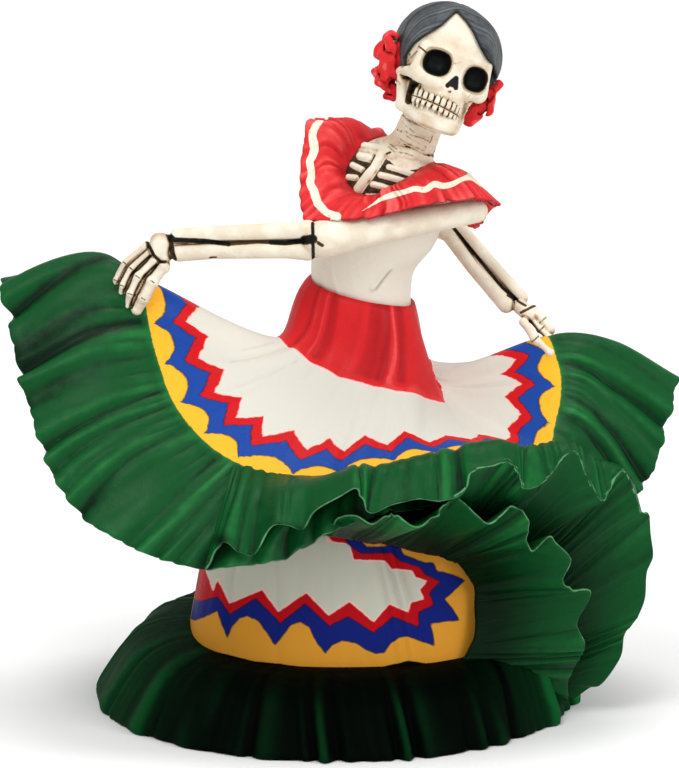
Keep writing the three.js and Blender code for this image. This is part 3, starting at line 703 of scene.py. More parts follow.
SIDE_FOLD_HEM = LIP_HEM[SIDE_FOLD_FROM:] + all_seen([
    (76, 46, -25), (76.5, 41, -23), (77, 35.5, -22), (75.5, 31.5, -21.5), (75, 25, -21), (73, 20, -20.5),
    (70, 16, -20), (69, 10.5, -19), (64.5, 4, -16), (61.5, 3, -14), (57.5, 0, -12),
])
SIDE_FOLD_ROOT = all_seen([
    (24, 46, -46), (31, 45, -41), (37, 42.5, -37), (43.5, 37.5, -33), (48.5, 34, -29.5), (51.5, 29, -27),
    (52.5, 22, -25), (52.5, 15, -22), (52, 7, -17), (50, 1, -11),
])
CURL_HEM = all_seen([
    (56, 0, -13), (56, 5, -18), (58, 9, -22), (60, 14, -26), (58, 19, -30), (61, 25, -33),
    (61, 27.5, -34), (57, 27.5, -36), (54.5, 30, -38), (56.5, 35, -39), (53, 39, -42), (51, 40.5, -43),
    (47, 37, -43), (45.5, 40, -44), (46, 45, -46.5), (42, 48, -48.5), (39, 46, -50), (36, 44, -51),
    (33, 46, -51), (28.5, 50, -52), (25, 48.5, -53), (23, 46, -54), (20, 44, -55), (17, 44, -55.5),
    (14, 46, -56), (11, 46, -56), (7, 44, -55.5), (3, 46, -55), (-1, 45.5, -54), (-3, 43, -52),
    (-7, 41, -48),
])
CURL_SEAM = all_seen([
    (27, 3, -32), (31, 12, -30), (33, 17, -29), (33, 23, -27), (33, 28.5, -27), (29.5, 34, -29),
    (26, 36, -31), (22, 37, -33), (17, 38, -34.5), (11.5, 39.5, -35.5), (5, 40.5, -36.5), (-1, 41.5, -36.5),
    (-7, 42, -36),
])
FOLD_WALL = (1.9, 0.8)


def folded_sheet(name, root, hem, rise, broad, depth, seed, painted_shade, hollows=()):
    """A sheet with broad creases; hollows are spots of painted shade: across, up, half width and half height
    as seen.
    """
    hem = np.asarray(hem)
    count = len(hem)
    steady = np.stack([hem[max(i - 2, 0):i + 3].mean(axis=0) for i in range(count)])
    run = np.concatenate([[0], np.cumsum(np.linalg.norm(np.diff(steady, axis=0), axis=1))])
    share = run / run[-1]
    fine = even_steps(root, 400)
    roots = smooth_through(root, np.interp(share, np.linspace(0, 1, 401), fine))
    lift = np.interp(share, np.linspace(0, 1, len(rise)), rise)
    middle = (roots + (steady + hem) / 2) / 2 + np.stack([0 * lift, -lift / 3, lift], -1)
    columns, rows = 11 * (count - 1), 30
    grid = surface([roots, middle, hem], np.linspace(0, 1, columns + 1), rows)
    way = np.interp(np.linspace(0, 1, columns + 1), np.linspace(0, 1, count), share)[None]
    down = np.linspace(0, 1, rows + 1)[:, None]
    creases = pleats(way + 0.01 * down * drift(way, seed), broad, seed, roundness=1.1, uneven=0.5)
    small = pleats(way, broad * 3 + 1, seed + 3, uneven=0.5)
    near_root = 1 - ease(down, 0.1, 0.7)
    fold = creases * (0.35 + 0.65 * np.sin(math.pi * np.clip(down, 0, 0.9))) + 0.2 * small * near_root
    # Painted shade: darker towards the root, where the cloth above overhangs, and dark in the hollows.
    dark = painted_shade * (1 - ease(down, 0.15, 1.0))
    view = front_view(grid)
    for across, up, wide, high in hollows:
        away = ((view[..., 0] - across) / wide) ** 2 + ((view[..., 1] - up) / high) ** 2
        dark = np.maximum(dark, 0.9 * np.exp(-away))
    values = {"crest": 0.5 + 0.4 * creases * (0.4 + 0.6 * down) + 0.12 * small * near_root, "painted_shade": dark}
    cloth(name, grid, False, depth * fold, FOLD_WALL, GREEN, values)


LIP_HOLLOWS = [
    (-30, 39.8, 2.2, 1.6), (-10.9, 42, 3.6, 1.4), (19.6, 48.2, 3.8, 1.3), (31.8, 51, 3.8, 3.6),
    (48, 40.8, 2, 1.4),
]
folded_sheet("lip", LIP_ROOT, LIP_HEM, LIP_RISE, 13, 0.5, 41, 0.0, LIP_HOLLOWS)
folded_sheet("side_fold", SIDE_FOLD_ROOT, SIDE_FOLD_HEM, [0, 0], 9, 0.8, 51, 0.75)
folded_sheet("curl", CURL_SEAM, CURL_HEM, [0, 0], 9, 0.8, 61, 0.85)

# %% [markdown]
# ## Underskirt
# The overskirt rests on an underskirt: a column of soft square section with its own painted border, and a
# pleated bell round its foot that stands on the table. Both are stacks of rings. In front the border
# follows the seam as the camera sees it, up along the curl and back, so it is measured there; behind, it
# simply follows the base.

# %% Stacks of rings
def stacked(name, rings, paint, values):
    """A closed piece from rings of points, the first lowest, with a flat end at each."""
    rows, columns = rings.shape[:2]
    index = np.arange(rows * columns).reshape(rows, columns)
    right = np.roll(index, -1, axis=1)
    sides = np.stack([index[:-1], right[:-1], right[1:], index[1:]], -1).reshape(-1, 4)
    low_end = np.stack([right[0], index[0], np.full(columns, rows * columns)], -1)
    high_end = np.stack([index[-1], right[-1], np.full(columns, rows * columns + 1)], -1)
    points = np.concatenate([rings.reshape(-1, 3), rings[:1].mean(axis=1), rings[-1:].mean(axis=1)])
    spread = {}
    for key, numbers in values.items():
        numbers = np.broadcast_to(numbers, (rows, columns))
        spread[key] = np.concatenate([numbers.ravel(), [numbers[0].mean(), numbers[-1].mean()]])
    add_piece(name, points, [sides, low_end, high_end], paint, spread)


# %% Column
COLUMN_HEIGHTS = [4, 18, 34, 50, 62, 80, 102]
COLUMN_LEFT = [38, 37.5, 34.5, 31, 22, 13, 5]
COLUMN_RIGHT = [44, 43.5, 42, 36, 24, 17, 13]
COLUMN_DEEP = [37, 36, 34, 31, 22, 12, 8]
COLUMN_MIDDLE = -1
COLUMN_SQUARENESS = 2.5
SEAM_IN_FRONT = 17.5
SEAM_RISE_BEHIND = 5

# The edges of the border in front, as the camera sees them: each line runs from the left over the bottom to
# the right and back along the curl, and is closed above, under the lip.
CLOSED_ABOVE = [(-4, 62), (-45, 62)]
SEAM_EDGE = [
    (-45, 17), (-37.5, 14.5), (-32, 12), (-22, 9.6), (-15.3, 9), (-4.3, 7.2), (9.3, 8.2), (16.3, 9.8),
    (24, 8.6), (30, 10.5), (33.8, 15.5), (33.3, 22.8), (33, 29.3), (29.5, 33.8), (26, 34.8), (22.3, 37),
    (17, 37.8), (14.3, 39.5), (9.3, 40), (5, 40.8), (-0.8, 41.5),
]
YELLOW_EDGE = [
    (-45, 22), (-37, 19.7), (-34.4, 20.7), (-31.4, 22.2), (-30.3, 18.8), (-28.9, 15.6), (-27.8, 18.1),
    (-25.9, 20.4), (-24, 21), (-21.1, 19.7), (-18.9, 16.6), (-17, 13.7), (-15.1, 15.9), (-12.9, 18.8),
    (-10.7, 19.5), (-8.5, 18.3), (-6.6, 14.3), (-4.4, 11.6), (-2.8, 13.7), (-0.3, 14.8), (2.9, 14.3),
    (6, 12.4), (8.3, 11.5), (10.1, 11.8), (12, 14.3), (14.3, 15.7), (16.2, 15.8), (19.3, 14.7),
    (22.8, 13.5), (22.5, 16.2), (21.7, 19), (25.3, 19.5), (29.1, 19.8), (27.9, 21.9), (25.3, 25.2),
    (27.5, 27), (30.4, 29.8), (27.5, 31.2), (23.4, 32.2), (22.5, 34.1), (19.9, 34.4), (15.2, 36.2),
    (13.8, 38.9), (9.8, 38.2), (6, 38.2), (3.8, 40.3), (0.7, 39.6),
]
BLUE_EDGE = [
    (-45, 27), (-35.7, 24.5), (-31.3, 25.7), (-28.3, 21.3), (-21.8, 25.4), (-15.6, 19.1), (-9.5, 24.1),
    (-3.4, 18.5), (1.3, 20.8), (7.6, 16.7), (12.4, 20.8), (19, 18.1), (18.7, 21.9), (22.7, 23.7),
    (21.5, 26.7), (24.3, 29.6), (20.3, 31.4), (19, 33.2), (14.3, 34.6), (12.2, 36.7), (4.5, 36.6),
    (1.7, 38.5), (0.7, 39.3),
]
RED_EDGE = [(-45, 36), (-34.5, 33), (-32.5, 27.3), (-31.3, 30.2), (-28.3, 24.1), (-20.2, 27.6), (-16.2, 22.1),
            (-9.1, 26.8), (-3.6, 21.2), (1.6, 24.6), (7.6, 19.6), (11.6, 24), (16.2, 21.9), (16.7, 24.5),
            (20.1, 25.2), (19, 27.5), (20.9, 29.6), (18.1, 30.5), (17.1, 32.2), (12, 32.6), (10.3, 34.7),
            (2.6, 34.9), (1.5, 38.9), (-4.1, 39.3)]
BACK_BORDER = {"seam": (0, 0), "yellow": (2.6, 8.6), "blue": (8, 13), "red": (11, 16)}
BACK_TOOTH = 10.2


def seam_height(turn):
    return SEAM_IN_FRONT + SEAM_RISE_BEHIND * (1 + np.sin(turn)) / 2


def column_ring(height, turn):
    sides = (COLUMN_LEFT, COLUMN_RIGHT, COLUMN_DEEP)
    left, right, deep = (np.interp(height, COLUMN_HEIGHTS, side) for side in sides)
    power = COLUMN_SQUARENESS
    reach = (abs(np.cos(turn)) ** power + abs(np.sin(turn)) ** power) ** (-1 / power)
    across = COLUMN_MIDDLE + np.cos(turn) * reach * np.where(np.cos(turn) < 0, left, right)
    return np.stack([across, np.sin(turn) * reach * deep, np.broadcast_to(height, across.shape)], -1)


def inside_line(line, places):
    """How far each place is inside a closed line, and below 0 outside."""
    line = np.asarray(line, float)
    away, crossed = np.full(len(places), 1e9), np.zeros(len(places), bool)
    for a, b in zip(line, np.roll(line, -1, axis=0)):
        away = np.minimum(away, gap_to(places, a, b)[0])
        if a[1] != b[1]:
            level = (places[:, 1] - a[1]) / (b[1] - a[1])
            crossed ^= (level >= 0) & (level < 1) & (places[:, 0] < a[0] + level * (b[0] - a[0]))
    return np.where(crossed, away, -away)


# The lower border's colours are the upper ones painted darker, as shade under the overskirt.
SHADED_LOWER_WHITE = colour(190, 189, 174)
SHADED_LOWER_RED = colour(176, 18, 28)
SHADED_LOWER_BLUE = colour(22, 34, 112)
SHADED_LOWER_YELLOW = colour(208, 144, 48)
PAINTED_SHADE_BROWN = colour(70, 30, 14)
SHADE_BELOW_SEAM = colour(3, 12, 6)


def underskirt_paint():
    paint = Paint("underskirt_paint", {"Specular IOR Level": 0.01})
    uneven = (paint.noise(1.8, 2.0) - 0.5) * 0.5
    under, height = creased_white(paint, SHADED_LOWER_WHITE, CREASE_SHADE), 0.0
    for name, hue in (("red", SHADED_LOWER_RED), ("blue", SHADED_LOWER_BLUE), ("yellow", SHADED_LOWER_YELLOW)):
        outside = (paint.spread("in_" + name) + uneven) * -0.1
        under = painted_over(paint, under, outside, hue, name == "red")
        height = paint.ramp(outside, -0.02, 0.02) * 0.33 + height
    # Brown painted shade, stronger towards the foot of the column.
    stains_and_shade = paint.mix(paint.spread("painted_shade"), under, PAINTED_SHADE_BROWN)
    # Where the base, the curl and the lip cover the column, it is painted near-black green as shade.
    seam = paint.ramp(paint.spread("in_seam") + uneven * 0.6, -0.15, 0.15)
    whole = paint.mix(seam, SHADE_BELOW_SEAM, stains_and_shade)
    return paint.finish(whole, paint.roughness(0.35), height + paint.brushed(2.2), 0.14)


def column():
    front_turns = np.linspace(-math.pi, 0, 370, endpoint=False)
    back_turns = np.linspace(0, math.pi, 130, endpoint=False)
    turn = np.concatenate([front_turns, back_turns])[None]
    height = np.concatenate([np.linspace(4, 48, 72), np.linspace(51, 102, 8)])[:, None]
    rings = column_ring(height, turn)
    soft = pleats(turn / (2 * math.pi) + 0.0005 * height, 17, 71, roundness=1.3, uneven=0.5)
    swell = 0.35 * ease(height, 12, 40) + 0.1
    rings = rings * (1 + (swell * soft / 34)[..., None] * [1, 1, 0])
    front = front_view(rings).reshape(-1, 2)
    y, z = rings[..., 1].ravel(), rings[..., 2].ravel()
    whole_teeth = round(math.pi * 38 / BACK_TOOTH)
    teeth_behind = np.broadcast_to(turn, rings.shape[:2]).ravel() / math.pi * whole_teeth + 0.3
    peak = np.abs(teeth_behind % 1 - 0.5) * 2
    rise = z - seam_height(np.arctan2(y, rings[..., 0].ravel()))
    # Painted shade grows downwards, towards the base.
    values = {"crest": 0.72 + 0.28 * soft, "painted_shade": 0.5 * ease(12 - (rings[..., 2] - 6), 0, 12)}
    edges = {"seam": SEAM_EDGE, "yellow": YELLOW_EDGE, "blue": BLUE_EDGE, "red": RED_EDGE}
    for name, edge in edges.items():
        low, high = BACK_BORDER[name]
        profile = 1 - (1 - peak) ** 2 if name == "yellow" else peak
        behind = rise - low - (high - low) * profile
        inside = np.where(y > 1, behind, inside_line(edge + CLOSED_ABOVE, front))
        values["in_" + name] = inside.reshape(rings.shape[:2])
    stacked("underskirt_column", rings, underskirt_paint(), values)


# %% Base
BASE_RADIUS_LEFT = 61.5
BASE_RADIUS_RIGHT = 58
BASE_RADIUS_DEEP = 64
BASE_FOLDS = 43
# The base's greens are darker than the flounces', painted as the shade under the overskirt.
BASE_GREENS = [colour(1, 5, 3), colour(9, 52, 24), colour(20, 100, 48), colour(20, 100, 48)]
BASE_GREEN = green_cloth("green_cloth_in_shade", BASE_GREENS, 0.012, 0.45)
BASE_OUT = [0.0, 0.97, 1.005, 1.012, 0.985, 0.94, 0.87, 0.78, 0.66, 0.5, 0.3, 0.1, -0.1]
BASE_SHARE = [0.0, 0.0, 0.02, 0.09, 0.16, 0.25, 0.38, 0.54, 0.72, 0.86, 0.95, 0.99, 1.0]


def base():
    columns, rows = 560, 38
    turn = np.linspace(0, 2 * math.pi, columns, endpoint=False)[None]
    way = turn / (2 * math.pi)
    stop = np.linspace(0, 1, rows)[:, None]
    places = np.linspace(0, 1, len(BASE_OUT))
    out, share = np.interp(stop, places, BASE_OUT), np.interp(stop, places, BASE_SHARE)
    foot = column_ring(18, turn)
    radius = np.where(np.cos(turn) < 0, BASE_RADIUS_LEFT, BASE_RADIUS_RIGHT)
    hem = np.stack([np.cos(turn) * radius, np.sin(turn) * BASE_RADIUS_DEEP, 0 * turn], -1)
    fold = pleats(way + 0.006 * share * np.sin(6 * math.pi * way), BASE_FOLDS, 81, roundness=1.3, uneven=0.55)
    small = pleats(way + 0.01 * share, 27, 82, roundness=1.5, uneven=0.5)
    calm = 1 - 0.75 * hill(way, 0.5, 0.08)
    flat = foot + (hem - foot) * out[..., None]
    depth = np.clip(out, 0, 1) ** 1.4
    lift = depth * calm * (1.4 * fold + 0.7 * small - 0.5)
    rings = flat.copy()
    rings[..., :2] += unit(flat[..., :2]) * lift[..., None]
    rings[..., 2] = share * seam_height(turn) + 0.55 * lift * ease(share, 0.02, 0.2)
    # Painted shade: the front of the base is painted dark, and near-black just below the seam.
    front = ease(-np.sin(turn), 0.05, 0.85)
    near_seam = ease(share, 0.6, 0.95) * front
    shaded = front * (0.98 - 0.16 * ease(fold + small, 0.2, 1.8) * (1 - near_seam))
    values = {
        "crest": 0.55 + calm * (0.5 * fold + 0.25 * small), "rim": 0.0,
        "painted_shade": np.maximum(shaded, 0.97 * near_seam),
    }
    stacked("underskirt_base", rings, BASE_GREEN, values)


# %% [markdown]
# ## Bodice and shoulder ruffle
# The bodice is the torso under a close white cloth with soft creases. The ruffle lies over both shoulders
# and dips in front to show the ribs; a white ribbon runs near its hem. The ribbon's place is measured as
# the camera sees it.

# %% Bodice
BODY_RINGS = [
    (4, 0.5, 98, 13, 10.6), (4.5, 0, 105, 12.4, 10), (5, -0.5, 111, 13, 10.4), (7.5, -1, 117, 15, 11.2),
    (9, -1.5, 124, 16, 12), (10.5, -2, 131, 15, 11.5),
]
BODICE_TUCK = [(7.5, 102.6), (9.2, 105.1), (11.3, 107.7)]
TUCK_SHADOW = [(8.2, 102.3), (10.0, 104.7), (11.9, 107.0)]


def bodice():
    columns, rows = 200, 80
    turn = np.linspace(0, 2 * math.pi, columns, endpoint=False)[None]
    x, y, z, wide, deep = smooth_through(BODY_RINGS, np.linspace(0, 1, rows)).T[..., None]
    soft = pleats(turn / (2 * math.pi) + 0.005 * (z - 98), 8, 91, roundness=1.7, uneven=0.4)
    smooth = np.stack([x + np.cos(turn) * wide, y + np.sin(turn) * deep, z + 0 * turn], -1)
    view = front_view(smooth).reshape(-1, 2)
    lines = [smooth_through(line, np.linspace(0, 1, 60)) for line in (BODICE_TUCK, TUCK_SHADOW)]
    from_ridge, from_shadow = (nearest_on(line, view)[1].reshape(z.size, turn.size) for line in lines)
    in_front = smooth[..., 1] < 0
    shadow = hill(from_shadow, 0, 0.4)
    lift = 0.12 * soft + in_front * (0.7 * hill(from_ridge, 0, 0.6) - 0.6 * shadow)
    rings = np.stack([x + np.cos(turn) * (wide + lift), y + np.sin(turn) * (deep + lift), z + 0 * turn], -1)
    stacked("bodice", rings, bodice_paint(), {"crest": 0.8 + 0.05 * soft - 0.55 * in_front * shadow})


BODICE_SHADE = colour(176, 160, 138)
BODICE_WHITE = colour(226, 219, 205)
BODICE_STAIN = colour(160, 134, 104)


def bodice_paint():
    paint = Paint("bodice_paint", {"Specular IOR Level": SHEEN})
    crest = paint.uneven("crest", 0.3, 4.0)
    cloth_colour = paint.mix(paint.ramp(crest, 0.1, 0.7), BODICE_SHADE, BODICE_WHITE)
    stains = paint.ramp(paint.noise(1.4, 4.0), 0.64, 0.85) * 0.2
    stains_and_shade = paint.mix(stains, cloth_colour, BODICE_STAIN)
    height = paint.noise(0.5, 2.0) * 0.4 + paint.noise(2.0)
    return paint.finish(stains_and_shade, paint.roughness(0.35), height, 0.12)


# %% Ruffle
NECKLINE = all_seen([
    (0.6, 130.6, -4), (1.8, 127.6, -8), (4.4, 125.6, -11), (8.6, 125.4, -13), (12.6, 127.6, -14),
    (16.4, 129.7, -13), (19.8, 132, -10.5), (22, 133.3, -6.5), (23, 133.2, -2), (23, 133.2, 3),
    (20, 134.5, 7.5), (16, 137, 10), (12, 139.2, 10), (8.4, 139.8, 8), (5.2, 138.6, 4), (2.2, 134.8, 0),
])
RIDGE_LIFT = [2.2, 1.5, 1.5, 1.5, 1.5, 2, 2.2, 2.2, 2, 2, 2.2, 2.6, 3.2, 4.4, 4.0, 2.6]
RUFFLE_HEM = all_seen([
    (-10.3, 129, -7), (-9.4, 120.5, -13), (-4, 119.7, -18), (3, 120.2, -21), (10.5, 121.2, -22),
    (18, 123.2, -21.5), (25, 124.6, -20), (32, 125.2, -16), (38, 124.2, -9), (36.6, 122.8, -2),
    (32, 118.4, 6), (23, 127, 17), (14, 130, 20), (3, 137, 18), (-3, 142.8, 14), (-8.2, 143.4, 5),
])
RIBBON_LEFT = [
    (-4.9, 145), (-6.3, 143.4), (-7.4, 141.5), (-7.5, 139.6), (-7.1, 137.7), (-7.4, 135.8), (-8.2, 133.9),
    (-7.9, 132), (-7.9, 130.2), (-8.2, 128.7), (-7.4, 127), (-6.8, 125.3), (-6.1, 123.6), (-4.9, 122.2),
    (-3.6, 121), (-1.3, 120.2),
]
RIBBON_RIGHT = [
    (4.9, 121.5), (7.7, 123.2), (10.1, 124.6), (12.5, 125.5), (15.1, 126.2), (18, 127.1), (20.4, 126.9),
    (22.6, 128.2), (24.7, 127.8), (27.1, 128.3), (29.3, 129.4), (31.7, 129.8), (33.8, 128.6), (37, 126.8),
]
RIBBON_HALF = 0.95
RIBBON_FROM_HEM = 3.6
RUFFLE_WALL = (1.6, 1.1)


def ruffle():
    columns, rows = 440, 34
    where = even_steps(RUFFLE_HEM, columns, closed=True)
    middle = [np.array(inner) * 0.5 + np.array(outer) * 0.5 + (0, 0, lift)
              for inner, outer, lift in zip(NECKLINE, RUFFLE_HEM, RIDGE_LIFT)]
    grid = surface([NECKLINE, middle, RUFFLE_HEM], where, rows, closed=True)
    way = np.arange(columns)[None] / columns
    down = np.linspace(0, 1, rows + 1)[:, None]
    outwards = unit(grid[-1] - grid[-9])
    wave = pleats(way, 23, 103, roundness=1.4, uneven=0.5)
    grid = grid + outwards[None] * (0.6 * wave * down ** 4)[..., None]
    fold = pleats(way + 0.01 * np.sin(down * 5), 17, 101, roundness=1.1, uneven=0.6)
    small = pleats(way, 41, 102, roundness=1.1, uneven=0.5)
    broad = ease(down, 0, 0.3) * (1 - 0.35 * ease(down, 0.55, 0.9))
    lift = 0.8 * broad * fold + down ** 2 * (0.5 * wave + 0.22 * small)
    front = front_view(grid + normals(grid, True) * lift[..., None]).reshape(-1, 2)
    spread = drift(way, 104) * 0.15 + 0.95
    _, left = nearest_on(smooth_through(RIBBON_LEFT, np.linspace(0, 1, 200)), front)
    step, right = nearest_on(smooth_through(RIBBON_RIGHT, np.linspace(0, 1, 200)), front)
    ribbon = np.minimum(left / 1.02, right / (0.1 + 0.75 * ease(step / 200, 0, 0.3)))
    run = lengths_down(grid)
    from_hem = (run[-1:] - run).ravel()
    behind = ease(grid[..., 1].ravel(), 4, 9)
    ribbon = ribbon * (1 - behind) + np.abs(from_hem - RIBBON_FROM_HEM) / RIBBON_HALF * behind
    values = {
        "crest": 0.5 + 0.5 * broad * fold + 0.2 * small * down + 0.3 * wave * ease(down, 0.6, 1.0),
        "ribbon": ribbon.reshape(grid.shape[:2]) / spread, "inner": 1 - ease(down, 0.05, 0.4),
    }
    cloth("shoulder_ruffle", grid, True, lift, RUFFLE_WALL, ruffle_paint(), values)


RUFFLE_SHADE = colour(124, 14, 24)
RUFFLE_RED = colour(208, 42, 45)
RUFFLE_LIGHT = colour(240, 98, 94)
RUFFLE_INNER_SHADE = colour(140, 16, 24)
RIBBON_WHITE = colour(234, 224, 204)
RIBBON_DIRT = colour(150, 122, 90)
RUFFLE_RIM = colour(84, 32, 46)


def ruffle_paint():
    paint = Paint("ruffle_paint", {"Specular IOR Level": SHEEN})
    crest = paint.uneven("crest", 0.5, 2.5)
    shade = paint.mix(paint.ramp(crest, -0.1, 0.5), RUFFLE_SHADE, RUFFLE_RED)
    red = paint.mix(paint.ramp(crest, 0.5, 1.05) * 0.9, shade, RUFFLE_LIGHT)
    # Near the neckline the red is painted darker in patches, as shade where the ruffle turns in.
    inner = paint.spread("inner") * paint.ramp(paint.noise(4.0), 0.2, 0.7) * 0.7
    deep = paint.mix(inner, red, RUFFLE_INNER_SHADE)
    ribbon = 1 - paint.ramp(paint.uneven("ribbon", 0.4, 1.5), 0.9, 1.08)
    dirt = paint.ramp(paint.noise(1.0, 4.0), 0.55, 0.8) * (0.3 + 0.6 * paint.ramp(paint.noise(5.0), 0.4, 0.6))
    white = paint.mix(dirt, RIBBON_WHITE, RIBBON_DIRT)
    trimmed = paint.mix(ribbon, deep, white)
    edge = paint.ramp(paint.uneven("rim", 0.4, 1.0), 0.7, 1.0) * 0.7
    whole = paint.mix(edge, trimmed, RUFFLE_RIM)
    return paint.finish(whole, paint.roughness(0.3), ribbon * 0.5 + paint.brushed(2.0), 0.14)


column()
base()
bodice()
ruffle()

# %% [markdown]
# ## Carved bone
# Bones are lumps that run into each other, with grooves cut where the wash gathers, so they are modelled as
# clay: a block of numbers that say how far each place is from the surface. Adding a shape keeps the lower
# number, cutting keeps the higher, and a little blending rounds the joint. The surface is the skin where
# the number is 0. The same numbers tell how enclosed a place is, and that is where the dark wash stays.

# %% Clay
def soft_lowest(first, second, blend):
    h = np.clip(0.5 + 0.5 * (second - first) / blend, 0, 1)
    return second + (first - second) * h - blend * h * (1 - h)


CORNERS = np.array([(i, j, k) for i in (0, 1) for j in (0, 1) for k in (0, 1)])
EDGES = [(0, 4), (1, 5), (2, 6), (3, 7), (0, 2), (1, 3), (4, 6), (5, 7), (0, 1), (2, 3), (4, 5), (6, 7)]
REACH = 2.4


class Clay:
    def __init__(self, low, high, cell):
        self.cell = cell
        self.low = np.asarray(low, float)
        self.size = np.ceil((np.asarray(high) - self.low) / cell).astype(int) + 1
        self.field = np.full(self.size, REACH)

    def places(self, low, high):
        """The part of the block around a shape between low and high, and the places in it."""
        first = np.floor((np.asarray(low) - REACH - self.low) / self.cell).astype(int)
        last = np.ceil((np.asarray(high) + REACH - self.low) / self.cell).astype(int) + 1
        first, last = np.clip(first, 0, self.size - 1), np.clip(last, 1, self.size)
        axes = [self.low[k] + self.cell * np.arange(first[k], last[k]) for k in range(3)]
        return tuple(map(slice, first, last)), np.stack(np.meshgrid(*axes, indexing="ij"), -1)

    def add(self, shape, blend=0.4, side=1):
        away, low, high = shape
        part, places = self.places(low, high)
        self.field[part] = side * soft_lowest(side * self.field[part], away(places), blend)

    def cut(self, shape, blend=0.4):
        self.add(shape, blend, side=-1)

    def at(self, points):
        """The numbers at any points, from the eight places around each."""
        place = np.clip((points - self.low) / self.cell, 0, self.size - 1.001)
        first = place.astype(int)
        part = place - first
        total = 0
        for corner in CORNERS:
            share = np.prod(np.where(corner, part, 1 - part), axis=-1)
            total = total + share * self.field[tuple((first + corner).T)]
        return total

    def skin(self):
        """Points and four-sided faces of the surface where the number is 0."""
        inside = self.field < 0
        windows = [tuple(slice(c, s - 1 + c) for c, s in zip(corner, self.size)) for corner in CORNERS]
        count = sum(inside[window].astype(np.int8) for window in windows)
        cells = np.argwhere((count > 0) & (count < 8))
        values = np.stack([self.field[tuple((cells + corner).T)] for corner in CORNERS])
        total, crossings = np.zeros((len(cells), 3)), np.zeros(len(cells))
        for a, b in EDGES:
            crosses = (values[a] < 0) != (values[b] < 0)
            share = np.where(crosses, values[a] / np.where(crosses, values[a] - values[b], 1), 0)
            total += np.where(crosses[:, None], CORNERS[a] + share[:, None] * (CORNERS[b] - CORNERS[a]), 0)
            crossings += crosses
        points = self.low + self.cell * (cells + total / crossings[:, None])
        number = np.full(self.size, -1)
        number[tuple(cells.T)] = np.arange(len(cells))
        faces = []
        for axis in range(3):
            step, one, two = (np.eye(3, dtype=int)[(axis + k) % 3] for k in range(3))
            start = np.argwhere(inside[tuple(slice(0, s - d) for s, d in zip(self.size, step))]
                                != inside[tuple(slice(d, s) for s, d in zip(self.size, step))])
            start = start[(start[:, (axis + 1) % 3] > 0) & (start[:, (axis + 2) % 3] > 0)]
            around = [number[tuple((start - shift).T)] for shift in (0 * one, one, one + two, two)]
            quads = np.stack(around, -1)
            leaving = inside[tuple(start.T)]
            faces.append(np.where(leaving[:, None], quads, quads[:, ::-1]))
        return points, np.concatenate(faces)

    def outward(self, points):
        steps = np.eye(3) * self.cell
        slope = np.stack([self.at(points + step) - self.at(points - step) for step in steps], -1)
        return unit(slope, 1e-9)

    def enclosed(self, points, reaches):
        """How closed in each point is, 0 in the open and 1 in a deep groove."""
        out = self.outward(points)
        shares = [1 - np.clip(self.at(points + out * reach) / reach, 0, 1) for reach in reaches]
        return sum(shares) / len(shares)

    def piece(self, name, paint, settle=None, reaches=(0.5, 1.0, 2.0), own=None, painted=None):
        """Makes the piece. own measures places in the clay's frame, painted where they stand in the end."""
        points, faces = self.skin()
        placed = settle(points) if settle else points
        spread = {"groove": self.enclosed(points, reaches)}
        spread.update({key: measure(points) for key, measure in (own or {}).items()})
        spread.update({key: measure(placed) for key, measure in (painted or {}).items()})
        add_piece(name, placed, [faces], paint, spread)


# %% Shapes
def egg(middle, radii, squareness=2.0, axes=np.eye(3)):
    """An ellipsoid along the given axes; with more squareness it has fuller corners."""
    middle, radii = np.asarray(middle, float), np.asarray(radii, float)

    def away(places):
        q = np.abs((places - middle) @ axes.T) / radii
        size = (q ** squareness).sum(axis=-1) ** (1 / squareness)
        return (size - 1) * radii.min()

    reach = np.abs(axes.T) @ radii
    return away, middle - reach, middle + reach


def turned(angle, upright=2):
    """The axes of a shape turned about the upright axis, or about another one."""
    cos, sin = math.cos(angle), math.sin(angle)
    one, other = [k for k in range(3) if k != upright]
    axes = np.eye(3)
    axes[one, one], axes[one, other], axes[other, one], axes[other, other] = cos, sin, -sin, cos
    return axes


def tower(levels, squareness):
    """A stack of softly square levels: height, middle, half width, and how far front and back lie from 0."""
    heights, middles, widths, fronts, backs = np.asarray(levels, float)[::-1].T

    def away(places):
        height = places[..., 2]
        sides = (middles, widths, fronts, backs)
        middle, wide, front, back = (np.interp(height, heights, side) for side in sides)
        deep = (front + back) / 2
        across = np.abs(places[..., 0] - middle) / wide
        q = np.stack([across, np.abs(places[..., 1] - (back - front) / 2) / deep], -1)
        round_it = ((q ** squareness).sum(axis=-1) ** (1 / squareness) - 1) * np.minimum(wide, deep) * 0.9
        ends = np.maximum(heights[0] - height, height - heights[-1])
        return -soft_lowest(-round_it, -ends, 1.0)

    low = [(middles - widths).min(), -fronts.max(), heights[0]]
    return away, np.array(low), np.array([(middles + widths).max(), backs.max(), heights[-1]])


def rod(path, girths):
    """Round limbs from place to place, with a girth at each."""
    path, girths = np.asarray(path, float), np.broadcast_to(girths, len(path)).astype(float)

    def away(places):
        nearest = None
        for a, b, r, s in zip(path, path[1:], girths, girths[1:]):
            gap, along = gap_to(places, a, b)
            gap = gap - (r + (s - r) * along)
            nearest = gap if nearest is None else np.minimum(nearest, gap)
        return nearest

    return away, path.min(axis=0) - girths.max(), path.max(axis=0) + girths.max()


# %% Painted lines
def near_line(places, line):
    """How far each place is from a line seen from the camera, in mm."""
    view, line = front_view(places), np.asarray(line, float)
    nearest = np.full(len(places), 99.0)
    for a, b in zip(line, line[1:]):
        nearest = np.minimum(nearest, gap_to(view, a, b)[0])
    return nearest


